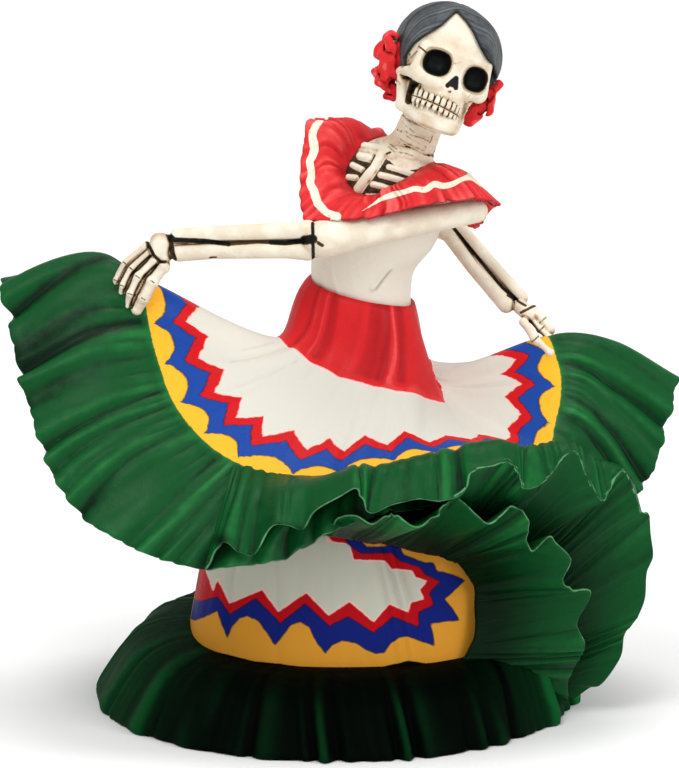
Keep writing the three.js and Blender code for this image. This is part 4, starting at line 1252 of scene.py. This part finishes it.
def ink_and_shade_lines(lines, deepest=90.0):
    """A measure for pieces. Each line has its points, its half width in mm and how dark it is, from 0 to 1.

    It holds on the side that faces the camera, no deeper than the given depth.
    """
    def measure(places):
        ink_and_shade = np.zeros(len(places))
        # The lines hold ink and also painted shade.
        for line, half, strength in lines:
            away = near_line(places, line)
            ink_and_shade = np.maximum(ink_and_shade, strength * (1 - ease(away, half * 0.7, half * 1.3 + 0.12)))
        return np.where(places[:, 1] < deepest, ink_and_shade, 0)
    return measure


def darkest(*measures):
    """The measure that takes the darkest of several."""
    return lambda places: np.max([measure(places) for measure in measures], axis=0)


# %% Bone paint
CREAM = colour(218, 205, 184)
PALE_CREAM = colour(232, 225, 208)
SPECKLE = colour(178, 146, 108)
TAN = colour(186, 152, 112)
BROWN = colour(78, 60, 36)
NEAR_BLACK = colour(16, 19, 20)


def bone_paint():
    paint = Paint("bone_paint", {"Specular IOR Level": SHEEN})
    cream = paint.mix(paint.ramp(paint.noise(5.0), 0.35, 0.7), CREAM, PALE_CREAM)
    speckled = paint.mix(paint.ramp(paint.noise(0.55, 3.0), 0.66, 0.78) * 0.4, cream, SPECKLE)
    # Tan, brown and near-black follow the wash in the grooves and the dark lines, some of which are painted
    # shade.
    ink_and_shade = paint.uneven("ink_and_shade", 0.5, 0.9, 3.0)
    groove = paint.uneven("groove", 0.16, 1.6, 5.0)
    tint = paint.ramp(groove.highest(ink_and_shade * 0.6), 0.08, 0.36) * 0.8
    tinted = paint.mix(tint, speckled, TAN)
    brown = paint.mix(paint.ramp(groove.highest(ink_and_shade), 0.28, 0.6), tinted, BROWN)
    dark = paint.mix(paint.ramp(groove.highest(ink_and_shade - 0.1), 0.6, 0.84), brown, NEAR_BLACK)
    height = paint.noise(0.45, 3.0) * 0.5 + paint.noise(1.8)
    return paint.finish(dark, paint.roughness(0.35), height, 0.12)


BONE = bone_paint()

# %% [markdown]
# ## Arms and hands
# Each forearm is two thin bones with a dark groove between them. A hand is a lump of wrist bones and four
# fingers of three bones each, with flared ends. The near arm comes from under the ruffle, the far arm holds
# the skirt on the right.

# %% Fingers
def bone(clay, path, girths, blend=0.2):
    """A round limb through places as the camera sees them."""
    clay.add(rod(all_seen(path), girths), blend)


def finger(clay, joints, girth, filling=0.0):
    """Three bones with flared ends; with filling, a rod behind them, painted dark as shade."""
    joints = np.asarray(joints)
    for number, (a, b) in enumerate(zip(joints, joints[1:])):
        size = girth * (1 - 0.08 * number)
        inner = [a + (b - a) * share for share in (0.06, 0.3, 0.72, 0.96)]
        clay.add(rod(inner, [size, size * 0.8, size * 0.8, size * 1.02]), 0.15)
    if filling:
        clay.add(rod(joints + (0, filling, 0), girth * 0.9), 0.15)


def joint_lines(fingers, reach, half):
    """Short painted lines across the joints of the fingers, as the camera sees them."""
    lines, dark = [], 0.6
    for joints in fingers:
        flat = np.asarray(joints)[:, :2]
        for before, joint, after in zip(flat, flat[1:], flat[2:]):
            run = (after - before) / np.linalg.norm(after - before)
            across = np.array([-run[1], run[0]]) * reach
            lines.append(([joint - across, joint + across], half, dark))
    return lines


# %% Near arm
NEAR_FINGERS = [
    [(-48.9, 113.3, -14.5), (-54.3, 108.8, -13.8), (-56.6, 104.6, -13.8), (-57.3, 101.2, -12.8)],
    [(-48.5, 111.8, -15.4), (-52.9, 107.6, -15.3), (-55.1, 103.3, -15.3), (-55.6, 100.0, -14.3)],
    [(-46.9, 109.8, -16.2), (-51.2, 105.5, -16.4), (-53.1, 101.2, -16.4), (-53.8, 98.1, -15.4)],
    [(-44.6, 108.1, -16.8), (-47.5, 104.3, -17.4), (-49.8, 100.0, -17.4), (-51.5, 97.2, -16.6)],
]
NEAR_GIRTHS = [0.98, 1.08, 1.2, 1.7]
NEAR_LINES = [
    ([(-43.5, 116), (-42, 114.7), (-34.6, 114.4), (-28.5, 113.7)], 0.55, 0.95),
    ([(-28.5, 113.7), (-21.5, 114.2), (-18, 114.1)], 0.45, 0.7),
    ([(-18, 114.1), (-14.5, 113.9), (-9.5, 114.4)], 0.55, 1), ([(-9.6, 114.6), (-7.6, 114.9)], 1.1, 1),
    ([(-7.6, 118.8), (-7.4, 109.6)], 0.36, 0.95),
    ([(-43.6, 116.0), (-42.9, 114.6), (-42.6, 112.0), (-42.0, 109.9)], 0.55, 0.85),
    ([(-49.0, 114.4), (-48.0, 112.6), (-47.2, 110.9), (-45.6, 109.3), (-44.3, 109.2)], 0.36, 0.9),
    ([(-6.2, 113.9), (-5.2, 113.3)], 0.4, 0.8), ([(-33.2, 110.3), (-31.6, 110.4)], 0.2, 0.6),
]


def near_arm():
    clay = Clay((-62, -26, 90), (38, -2, 136), 0.3)
    upper = [(33, 122, -9), (20, 119.5, -14.5), (6, 117, -17.5), (-5.2, 114.8, -18)]
    bone(clay, upper, [3.1, 3.4, 4.1, 4.8], 0.3)
    clay.cut(rod(all_seen([(-7.5, 121, -19), (-7.4, 108, -19)]), 0.35), 0.4)
    top = [(-8.8, 117.4, -17.9), (-14, 116.8, -17.6), (-32, 116.2, -16.8), (-41.2, 115.6, -15.9)]
    low = [(-8.8, 111.9, -18.2), (-14, 112.4, -18.1), (-32, 112.1, -17.4), (-40.8, 111.6, -16.4)]
    bone(clay, top, [2.3, 2.3, 2.05, 2.0])
    bone(clay, low, [2.4, 2.35, 2.15, 2.35])
    bone(clay, [(-6, 114.6, -17), (-42, 113.8, -15.2)], 1.6)
    clay.add(egg(seen(-45.6, 113.2, -15.4), (2.7, 2.2, 3.3), 2.6), 0.15)
    bone(clay, [(-44.4, 111.8, -15), (-44.6, 110.6, -15.4)], [2.0, 1.9], 0.3)
    bone(clay, [(-43.2, 114.6, -14.6), (-42.6, 111.4, -14.8)], 1.5, 0.3)
    for joints, girth in zip(NEAR_FINGERS, NEAR_GIRTHS):
        finger(clay, all_seen(joints), girth, filling=0.9)
    # Webs behind the gaps between the fingers, with dark lines on them painted as shade.
    between = [(np.array(one) + np.array(other)) / 2 for one, other in zip(NEAR_FINGERS, NEAR_FINGERS[1:])]
    for joints in between:
        clay.add(rod([np.array(seen(*joint)) + (0, 1.2, 0) for joint in joints], 0.9), 0.2)
    shaded_gaps = [([tuple(joint[:2]) for joint in joints], 0.2, 0.7) for joints in between]
    lines = NEAR_LINES + joint_lines(NEAR_FINGERS, 0.6, 0.13) + shaded_gaps
    clay.piece("near_arm", BONE, painted={"ink_and_shade": ink_and_shade_lines(lines)})


near_arm()

# %% Far arm
FAR_FINGERS = [
    [(47.5, 97.5, 8), (50, 94.8, 5.5), (52, 92.2, 3.5)],
    [(46.8, 95.5, 7), (49.5, 92.5, 4.5), (51.5, 90.3, 2)],
    [(45, 94.5, 5), (48, 90, 1), (51.9, 86.4, -3.5)],
]
FAR_LINES = [([(27.1, 118.5), (33.5, 110.6), (39.8, 103), (43.4, 100)], 0.4, 0.95),
             ([(41.2, 101), (45.6, 98.4)], 0.28, 0.85), ([(44.4, 96.6), (47.9, 98.4)], 0.28, 0.8)]


def far_arm():
    clay = Clay((-4, -8, 84), (58, 26, 138), 0.36)
    bone(clay, [(-1, 132, 6), (12, 124, 15), (26, 118, 19)], [3.2, 3.4, 3.4], 0.3)
    bone(clay, [(29.6, 117.6, 18), (37.6, 108.5, 14.6), (44.8, 100.4, 10.3)], [1.7, 1.45, 1.55])
    bone(clay, [(26.2, 116.6, 18), (32.4, 108, 14.4), (40.8, 98.6, 9.5)], [2.0, 1.7, 2.1])
    bone(clay, [(28, 116, 19), (42, 100, 11)], 1.2)
    bone(clay, [(44.4, 98, 8.8), (46.6, 96.2, 7)], [1.9, 2.0])
    for joints in FAR_FINGERS:
        finger(clay, all_seen(joints), 1.25)
    lines = FAR_LINES + joint_lines(FAR_FINGERS, 1.2, 0.18)
    clay.piece("far_arm", BONE, painted={"ink_and_shade": ink_and_shade_lines(lines)})


far_arm()

# %% [markdown]
# ## Chest and neck
# The ruffle's neckline shows a breastbone, the near ends of the ribs and the root of the neck. Between the
# bones the chest is painted dark, as wash and as painted shade in the hollow, so whatever lies outside a
# bone is dark. The neck is a stack of flat bones under thin ring lines.

# %% Chest
CHEST_BONES = [
    ([(9.9, 136.4), (8.7, 134.3), (7.4, 132.2), (6.0, 130.3), (4.7, 128.6), (3.9, 127.4)], 1.2),
    ([(5.4, 138.1), (8.4, 137.6), (11.4, 137.2)], 0.9), ([(10.8, 137.2), (12.2, 135.9)], 1.5),
    ([(13.6, 136.4), (17, 135.7), (21, 134.4)], 1.5), ([(4.3, 135.6), (6.9, 134.9)], 0.9),
    ([(2.4, 133.4), (4.7, 132.2)], 0.66), ([(1.4, 130.4), (3.2, 130.2)], 0.66),
    ([(11.4, 132.9), (14.3, 132.1), (19, 130.4)], 0.6), ([(9.3, 130.9), (12.2, 130.2), (17, 128.8)], 0.66),
    ([(7.3, 128.6), (9.5, 128.1), (13.5, 126.7)], 0.62), ([(5.9, 125.7), (9, 125.6)], 0.45),
]
# Thin brown ring lines on the neck, with a painted shadow under the jaw and a patch of painted shade at the
# foot of the neck.
CHEST_LINES = [
    ([(10.8, 136.1), (11.7, 136.5)], 0.2, 0.9),
    ([(8.0, 135.8), (6.6, 133.2), (5.4, 132), (3.9, 130.4)], 0.12, 0.8),
    ([(15.7, 144.9), (18.1, 143.9), (21.4, 142.2), (24, 141.5)], 0.22, 0.42),
    ([(13.6, 142.2), (14.5, 141.8)], 0.2, 0.45),
    ([(15.1, 142.1), (17.2, 140.7), (19.8, 140.1), (21.6, 139.2)], 0.16, 0.42),
    ([(22.3, 140.6), (21.9, 139.5), (21.6, 138.9)], 0.16, 0.5),
    ([(20.3, 138.2), (20.6, 137.7)], 0.14, 0.4),
    ([(13.9, 140.1), (15.4, 139.1), (17.8, 137.9), (19.9, 137.1)], 0.16, 0.44),
    ([(11.2, 138), (12.7, 136.7), (15.1, 136.4), (17.5, 135.6)], 0.16, 0.44),
    ([(11.8, 138.6), (13.3, 137.3)], 0.16, 0.44), ([(18.2, 135.2), (18.9, 134.2), (20, 133.7)], 0.5, 0.3),
]
CHEST_MIDDLE, CHEST_RADII = np.array([11.7, -3.5, 133]), np.array([11.6, 9.6, 12.5])
NECK_RINGS = 8


def on_chest(across, up):
    """Where the line of sight through that place of the picture meets the chest."""
    far = np.array(seen(across, up, 0.0))
    sight = np.array([0, math.cos(LOOK_DOWN), -math.sin(LOOK_DOWN)])
    a, b = (far - CHEST_MIDDLE) / CHEST_RADII, sight / CHEST_RADII
    half, rest = a @ b, a @ a - 1
    return far + sight * (-half - math.sqrt(max(half * half - (b @ b) * rest, 0))) / (b @ b)


def neck_ring(share, draw):
    middle = np.array([16.4, -1.6, 140.6]) * (1 - share) + np.array([23.2, -3.6, 158.0]) * share
    size, lean = 5.85 - 0.95 * share, -0.42 + 0.06 * draw.standard_normal()
    ring = []
    for turn in np.linspace(0, 2 * math.pi, 33):
        rise = size * lean * math.cos(turn) + 0.2 * math.sin(3 * turn + 9 * share)
        ring.append(middle + (0.93 * size * math.cos(turn), size * math.sin(turn), rise))
    return ring


def chest():
    clay = Clay((-6, -22, 120), (34, 12, 168), 0.29)
    clay.add(egg(CHEST_MIDDLE, CHEST_RADII), 0.5)
    throat = [(15.6, -1.4, 138.5), (18.5, -2, 146), (21.3, -3, 153.5), (24, -4, 161)]
    clay.add(rod(throat, [6.0, 5.6, 5.2, 4.7]), 2.0)
    for path, half in CHEST_BONES:
        clay.add(rod([on_chest(*place) + (0, half * 0.3, 0) for place in path], half + 0.1), 0.2)
    draw = np.random.default_rng(7)
    rings = [neck_ring((turn + 0.25 * draw.random()) / NECK_RINGS, draw) for turn in range(1, NECK_RINGS)]
    for ring in rings:
        clay.cut(rod(ring, 0.22), 0.2)

    def ink_and_shade(places):
        outside = np.min([near_line(places, path) - half for path, half in CHEST_BONES], axis=0)
        neck = near_line(places, [(16.5, 138.2), (24, 155)]) - 6
        collar = 1 - 0.6 * ease(places[:, 2], 140.5, 143)
        # Painted shade and wash: dark wherever the chest lies outside the bones.
        between = 0.82 * ease(np.minimum(outside, neck), -0.05, 0.3) * (places[:, 1] < -1) * collar
        nearest = np.full(len(places), 9.0)
        for ring in rings:
            nearest = np.minimum(nearest, rod(ring, 0.0)[0](places))
        # A light tan tint over the whole neck.
        neck_tint = 0.22 * (1 - ease(neck, -1.5, 2))
        return np.maximum(np.maximum(between, neck_tint), 0.5 * (1 - ease(nearest, 0.1, 0.45)))

    clay.piece("chest_and_neck", BONE, painted={"ink_and_shade": darkest(ink_and_shade, ink_and_shade_lines(CHEST_LINES))})


chest()

# %% [markdown]
# ## Skull
# The skull is carved in its own frame, with the face towards -Y and the middle of the braincase at the
# origin, and then turned into place: turned to the right, nodding, and tilted.

# %% Head frame
HEAD_MIDDLE = np.array([24.8, -4, 164.6])
HEAD_TILT = math.radians(18.5)
HEAD_MATRIX = np.array(Matrix.Rotation(HEAD_TILT, 3, "Y") @ Matrix.Rotation(math.radians(-16), 3, "X")
                       @ Matrix.Rotation(math.radians(16), 3, "Z"))


def head_place(points):
    return points @ HEAD_MATRIX.T + HEAD_MIDDLE


# %% Skull
FACE_LEVELS = [
    (6, 0, 8, 9, 4), (2.5, 0, 9.6, 12, 4), (-1, 0, 9.5, 12.2, 4), (-4.2, 0, 9.3, 12.6, 4),
    (-6.4, -0.3, 7.4, 13.3, 2), (-8.6, -0.5, 6.1, 13.4, 0), (-10.6, -0.5, 5.5, 12.6, -1),
    (-12.4, -0.4, 5.4, 12.4, -2), (-14.2, -0.1, 5.6, 13.2, -4), (-15.8, 0, 4.9, 13.2, -5),
    (-17.3, 0, 4.0, 12.4, -7),
]
SOCKETS = [((-6.0, -12, -0.9), (3.8, 5.5, 3.5)), ((5.2, -12, -2.1), (3.3, 5.5, 3.45))]
SIGHT_TURN = math.radians(-20)
LEFT_EYE, RIGHT_EYE = ((23.4, 158.7), (3.5, 3.2)), ((33.0, 154.6), (2.95, 3.1))
# Dark lines on the face: the nose, small marks, the hollow under the left cheekbone painted dark brown as
# shade, and brown at the left temple, partly stain and partly the hair's painted shadow.
FACE_LINES = [
    ([(28.15, 154.9), (26.0, 153.05)], 0.55, 1), ([(28.15, 154.9), (28.05, 152.5)], 0.55, 1),
    ([(27.7, 154.2), (27.3, 153.4)], 0.75, 1), ([(26.3, 151.6), (26.7, 151.5)], 0.28, 0.6),
    ([(18.9, 162.8), (20.6, 161.4)], 0.18, 0.75), ([(17.3, 153.5), (16.9, 151.8)], 0.9, 0.86),
    ([(18.4, 153.1), (17.6, 152.6)], 0.65, 0.85), ([(16.6, 151.3), (16.2, 149.2)], 0.85, 0.62),
    ([(15.6, 154.9), (19.3, 153.3)], 0.25, 0.6), ([(30.2, 148.9), (30.1, 147.4)], 0.3, 0.42),
    ([(30.5, 148.8), (31.4, 147.8)], 0.2, 0.4), ([(31.9, 151.0), (30.9, 150.0)], 0.14, 0.42),
    ([(27.3, 158.5), (29.3, 158.8)], 0.3, 0.34), ([(28.9, 156.6), (29.6, 157.6)], 0.2, 0.3),
    ([(14.2, 155.8), (15.6, 155.0)], 0.3, 0.5), ([(14.0, 158.6), (16.4, 160.6)], 0.6, 0.42),
    ([(14.6, 157.7), (18.4, 161.6)], 0.3, 0.45), ([(13.4, 154.6), (14.2, 153.4)], 0.3, 0.35),
]


def eye_ink(places):
    """1 inside the eye sockets as the camera sees them, falling to 0 over their brown edge."""
    view, ink_and_shade = front_view(places), 0
    for middle, radii in (LEFT_EYE, RIGHT_EYE):
        tilted = (view - middle) @ np.array([[0.95, 0.31], [-0.31, 0.95]])
        reach = ((np.abs(tilted) / radii) ** 2.4).sum(axis=1) ** (1 / 2.4)
        ink_and_shade = np.maximum(ink_and_shade, 1.2 * (1 - ease(reach, 0.84, 1.16)))
    return np.where(places[:, 1] < -3, ink_and_shade, 0)


def skull():
    clay = Clay((-15, -18, -20), (15, 18, 17), 0.27)
    clay.add(egg((0.4, 2, 2.9), (11.6, 14.2, 12.2)), 0.5)
    clay.add(tower(FACE_LEVELS, 2.5), 1.2)
    for side, corner in ((-1, (-8.2, -3.4, -13.1)), (1, (7.0, -3.4, -12.4))):
        cheek = [(side * 8.2, -9.2, -4.8), (side * 10.0, -5, -4.9), (side * 10.2, 0, -5.4)]
        clay.add(rod(cheek, [2.0, 1.3, 1.0]), 0.8)
        clay.add(rod([(side * 8.5, -8, 2.2), (side * 9.2, -8, -3.4)], [1.3, 1.5]), 1.2)
        clay.add(rod([(side * 4.6, -11.8, -5.8), (side * 8, -9.4, -5.2)], [1.4, 2.0]), 1.2)
        hinge, bend = (side * 9.6, -0.6, -5.2), (-9.43 if side < 0 else 7.6, -2.6, -9)
        clay.add(rod([hinge, bend, corner], [1.4, 1.3, 1.5]), 0.5)
        clay.add(rod([corner, (side * 4.4, -9.5, -15.2)], [1.6, 1.7]), 0.8)
        # Behind the cheekbone a hollow is cut, with a lump behind it that is painted dark as shade.
        clay.add(egg((side * 7.0, -1.6, -9), (2.2, 2.6, 5)), 0.3)
        clay.cut(egg((side * 7.4, -6.8, -9.4), (1.5, 3.8, 3.2), 2.0, turned(SIGHT_TURN)), 0.4)
    for middle, radii in SOCKETS:
        clay.cut(egg(middle, radii, 2.4, turned(SIGHT_TURN)), 0.5)
    for nostril, wide in (((-2.0, -14, -5.3), 0.85), ((0.4, -14, -5.7), 0.75)):
        clay.cut(rod([(-0.1, -13.6, -2.8), nostril], [0.5, wide]), 0.25)
    clay.piece("skull", BONE, head_place, painted={"ink_and_shade": darkest(eye_ink, ink_and_shade_lines(FACE_LINES, 2.0))})


skull()

# %% Teeth
TEETH_EACH_ROW = 12
TEETH_SPREAD = math.radians(156)
ARCH_WIDE, ARCH_DEEP, ARCH_MIDDLE = 6.1, 7.2, (-1.0, -6.4)


def around_arch(places):
    """How far along the row of teeth each place lies, counted in teeth."""
    across = (places[:, 0] - ARCH_MIDDLE[0]) / ARCH_WIDE
    turn = np.arctan2(across, (ARCH_MIDDLE[1] - places[:, 1]) / ARCH_DEEP)
    return (turn / TEETH_SPREAD + 0.5) * (TEETH_EACH_ROW - 1)


def bite_height(x):
    return -11.4 - 0.125 * x


def gaps_between(places):
    """Dark wedges between the teeth, narrow at the bite and wide at the gums, each with its own strength."""
    along, high = around_arch(places), places[:, 2] - bite_height(places[:, 0])
    number = np.floor(along)
    from_gap = np.abs(along - number - 0.5) * 1.45
    own = 0.78 + 0.22 * np.sin(number * 2.3 + np.sign(high) * 1.1)
    tall = np.where(high > 0, high, -high * 1.35) / own
    half = np.interp(tall, [0, 0.4, 1.5, 2.1], [0.05, 0.1, 0.3, 0.05]) * own
    wedge = 0.9 * (1 - ease(from_gap, half * 0.6, half * 1.4)) * (1 - ease(tall, 1.6, 2.1))
    bite = 1 - ease(np.abs(high), 0.05, 0.2)
    return np.maximum(wedge, bite) * (places[:, 1] < ARCH_MIDDLE[1] + 1)


def teeth():
    clay = Clay((-9, -16, -16), (8, -3, -6), 0.14)
    draw = np.random.default_rng(5)
    arch = []
    for number in range(TEETH_EACH_ROW):
        turn = (number / (TEETH_EACH_ROW - 1) - 0.5) * TEETH_SPREAD
        x, y = ARCH_MIDDLE[0] + ARCH_WIDE * math.sin(turn), ARCH_MIDDLE[1] - ARCH_DEEP * math.cos(turn)
        facing = math.atan2(math.sin(turn) / ARCH_WIDE, math.cos(turn) / ARCH_DEEP)
        bite = bite_height(x)
        arch.append((x * 0.9 + ARCH_MIDDLE[0] * 0.1, y + 1.0, bite))
        tall = 1.05 + 0.15 * draw.random()
        clay.add(egg((x, y, bite + 0.06 + tall), (0.76, 0.62, tall), 2.8, turned(facing)), 0.05)
        clay.add(rod([(x, y + 0.15, bite + 1.2), (x * 0.96, y + 0.35, bite + 3.4)], [0.6, 0.3]), 0.3)
        low = 0.72 + 0.1 * draw.random()
        clay.add(egg((x, y + 0.15, bite - 0.06 - low), (0.72, 0.6, low), 2.8, turned(facing)), 0.05)
        clay.add(rod([(x, y + 0.4, bite - 1.0), (x * 0.96, y + 0.6, bite - 2.2)], [0.5, 0.3]), 0.3)
    clay.add(rod(arch, 1.25), 0.1)
    clay.piece("teeth", BONE, head_place, reaches=(0.25, 0.5, 0.9), own={"ink_and_shade": gaps_between})


teeth()

# %% [markdown]
# ## Hair
# Dark grey hair lies close to the skull, parted in the middle, combed to both sides and tied in a bun behind.

# %% Hair
FOREHEAD = [
    (28.3, 171.4), (30.5, 169), (32.3, 166.3), (34.05, 162.5), (35.8, 159.65), (37.4, 157.9), (38, 155.5),
    (40, 150), (36, 138), (18, 138), (8, 148), (13.8, 157.9), (16.3, 161.2), (17.75, 163.35),
    (19.7, 164.9), (24.4, 167.75),
]
HAIR_BLOCK = ((-16, -16, -12), (16, 25, 19))
HAIR_LOW = colour(30, 33, 38)
HAIR_LOW_LIT = colour(48, 51, 54)
HAIR_HIGH = colour(77, 80, 86)
HAIR_HIGH_LIT = colour(101, 104, 104)
HAIR_SHADE = colour(20, 20, 22)


def hair_paint():
    paint = Paint("hair_paint", {"Specular IOR Level": SHEEN})
    crest = paint.uneven("crest", 0.5, 1.6, 4.0)
    # In broad patches the grey is painted paler, as light.
    broad = paint.ramp(paint.noise(7.0), 0.3, 0.7)
    low = paint.mix(broad, HAIR_LOW, HAIR_LOW_LIT)
    high = paint.mix(broad, HAIR_HIGH, HAIR_HIGH_LIT)
    # Strand crests are painted lighter and the gaps between darker: partly dry-brushed grey, partly painted
    # highlight and shade.
    grey = paint.mix(paint.ramp(crest, 0.1, 0.85), low, high)
    # Along the hairline and in the grooves the hair is painted near-black, as shade.
    edge = paint.spread("ink_and_shade") * 0.55
    dark = paint.mix(paint.ramp(paint.spread("groove").highest(edge), 0.2, 0.7), grey, HAIR_SHADE)
    return paint.finish(dark, paint.roughness(0.38), paint.noise(0.6, 3.0), 0.1)


def strands(points):
    around = np.arctan2(points[..., 2] + 5.5, -(points[..., 1] - 1.0)) / (2 * math.pi) + 0.5
    sway = 0.004 * np.sin(points[..., 0] * 0.7)
    thick = pleats(around + sway, 52, 111, roundness=1.0, uneven=0.4)
    return 0.6 * thick + 0.4 * pleats(around + sway, 137, 112, roundness=1.0, uneven=0.5)


def bare_forehead(places):
    """How far inside the bare forehead a place is, as the camera sees it; below 0 it is under hair."""
    flat = places.reshape(-1, 3)
    within = inside_line(FOREHEAD, front_view(head_place(flat)))
    return np.minimum(within, -1.5 - flat[:, 1]).reshape(places.shape[:-1])


def hair():
    clay = Clay(*HAIR_BLOCK, 0.32)
    clay.add(egg((0.7, 2.2, 3.2), (12.9, 15.2, 12.5)), 0.1)
    clay.add(egg((8.6, 3, 4.5), (6.6, 9, 9.5), 2.0, turned(HEAD_TILT, 1)), 1.5)
    part, places = clay.places(*HAIR_BLOCK)
    clay.field[part] -= 0.16 * strands(places) * ease(np.abs(places[..., 0]), 0.2, 2.5)
    clay.cut(rod([(0, -14, 12), (0, -6, 16.0), (0, 6, 16.2)], 0.6), 0.5)
    clay.field[part] = -soft_lowest(-clay.field[part], -bare_forehead(places), 0.3)
    nape = -3.8 - 4 * ease(places[..., 1], -2, 5)
    clay.field[part] = np.maximum(clay.field[part], nape - places[..., 2])
    clay.add(egg((0, 16.8, -0.5), (6.4, 5.2, 6.2)), 0.5)
    clay.piece("hair", hair_paint(), head_place, own={
        "crest": lambda points: 0.5 + 0.5 * strands(points),
        # A dark band along the hairline, painted as the hair's shadow.
        "ink_and_shade": lambda points: 1 - ease(np.abs(bare_forehead(points) + 0.3), 0.1, 1.0),
    })


hair()

# %% [markdown]
# ## Roses
# Paper roses stand over both temples. They are seen from the side, so each is a few long petals that lie
# over one another. The paint is red, with painted highlights on the ridges and painted shade in the creases.

# %% Roses
ROSE_LIGHT = colour(240, 98, 94)
ROSE_RED = colour(210, 42, 45)
ROSE_CREASE_SHADE = colour(120, 12, 18)


def rose_paint():
    paint = Paint("rose_paint", {"Specular IOR Level": SHEEN})
    groove = paint.uneven("groove", 0.16, 1.2)
    # Open ridges are painted lighter as highlights, creases darker as shade.
    lit = paint.mix(paint.ramp(groove, -0.1, 0.16), ROSE_LIGHT, ROSE_RED)
    red = paint.mix(paint.ramp(groove, 0.3, 0.9), lit, ROSE_CREASE_SHADE)
    return paint.finish(red, paint.roughness(0.3), paint.noise(0.7, 3.0), 0.12)


ROSE = rose_paint()
ROSE_MARGIN = 6
PETAL_RIPPLE = 0.26
PETAL_RIPPLES = np.array([(1.4, 0.5, 1.1), (-0.8, 0.7, 1.9), (2.1, -0.4, -0.6)])
PETALS = {
    "rose_left": (-5.6, [
        (11.8, 165.0, 0.8, 2.1, 1.9, 0), (9.9, 161.8, 0.4, 2.1, 2.7, -25), (12.1, 162.2, -0.6, 1.7, 3.2, 8),
        (9.3, 156.6, 0.7, 2.3, 1.8, 20), (11.4, 157.4, -0.9, 2.5, 4.6, 4), (10.3, 154.3, 0.2, 2.5, 2.2, -20),
        (12.2, 152.0, 0.5, 1.3, 2.6, 0), (11.4, 150.4, 0.6, 1.6, 0.9, 0), (13.3, 159.5, 0.4, 1.5, 5.2, 2),
    ]),
    "rose_right": (-0.5, [
        (37.7, 152.8, 0.6, 2.4, 1.5, 30), (36.2, 148.8, 0.0, 1.8, 3.2, -6), (32.8, 146.0, -0.6, 3.5, 1.9, 48),
        (36.0, 151.0, 0.9, 2.0, 3.4, -24), (33.8, 148.0, 0.5, 2.4, 2.8, -40),
    ]),
}


def rose(name, depth, petals):
    """Petals in the view plane: middle, how far behind the others they lie, half width, half height, lean."""
    spots = [np.array(seen(across, up, depth + behind)) for across, up, behind, *_ in petals]
    block = np.min(spots, axis=0) - ROSE_MARGIN, np.max(spots, axis=0) + ROSE_MARGIN
    clay = Clay(*block, 0.25)
    for spot, (*_, wide, tall, lean) in zip(spots, petals):
        leaning = turned(math.radians(lean), 1)
        clay.cut(egg(spot, (wide + 0.12, 2.0, tall + 0.12), 2.4, leaning), 0.3)
        clay.add(egg(spot, (wide, 1.8, tall), 2.4, leaning), 0.08)
        fold = spot + np.array([wide * 0.3, -1.9, 0.0])
        clay.cut(egg(fold, (wide * 0.3, 0.5, tall * 0.7), 2.0, leaning), 0.7)
    clay.add(rod([spot + (0, 1.2, 0) for spot in spots], 1.0), 0.2)
    part, places = clay.places(*block)
    clay.field[part] += PETAL_RIPPLE * np.sin(places @ PETAL_RIPPLES.T).mean(axis=-1)
    clay.piece(name, ROSE, reaches=(0.25, 0.5, 1.0))


for name, (depth, petals) in PETALS.items():
    rose(name, depth, petals)

# %% Floor
bpy.ops.mesh.primitive_plane_add(size=FLOOR_SIZE)
floor = bpy.context.object
floor.name = "floor"
floor_paint = Paint("floor_paint")
floor_tint = floor_paint.mix(floor_paint.noise(400.0), colour(246, 246, 245), colour(250, 250, 249))
floor.data.materials.append(floor_paint.finish(floor_tint, 0.9, floor_paint.noise(2.0), 0.02))
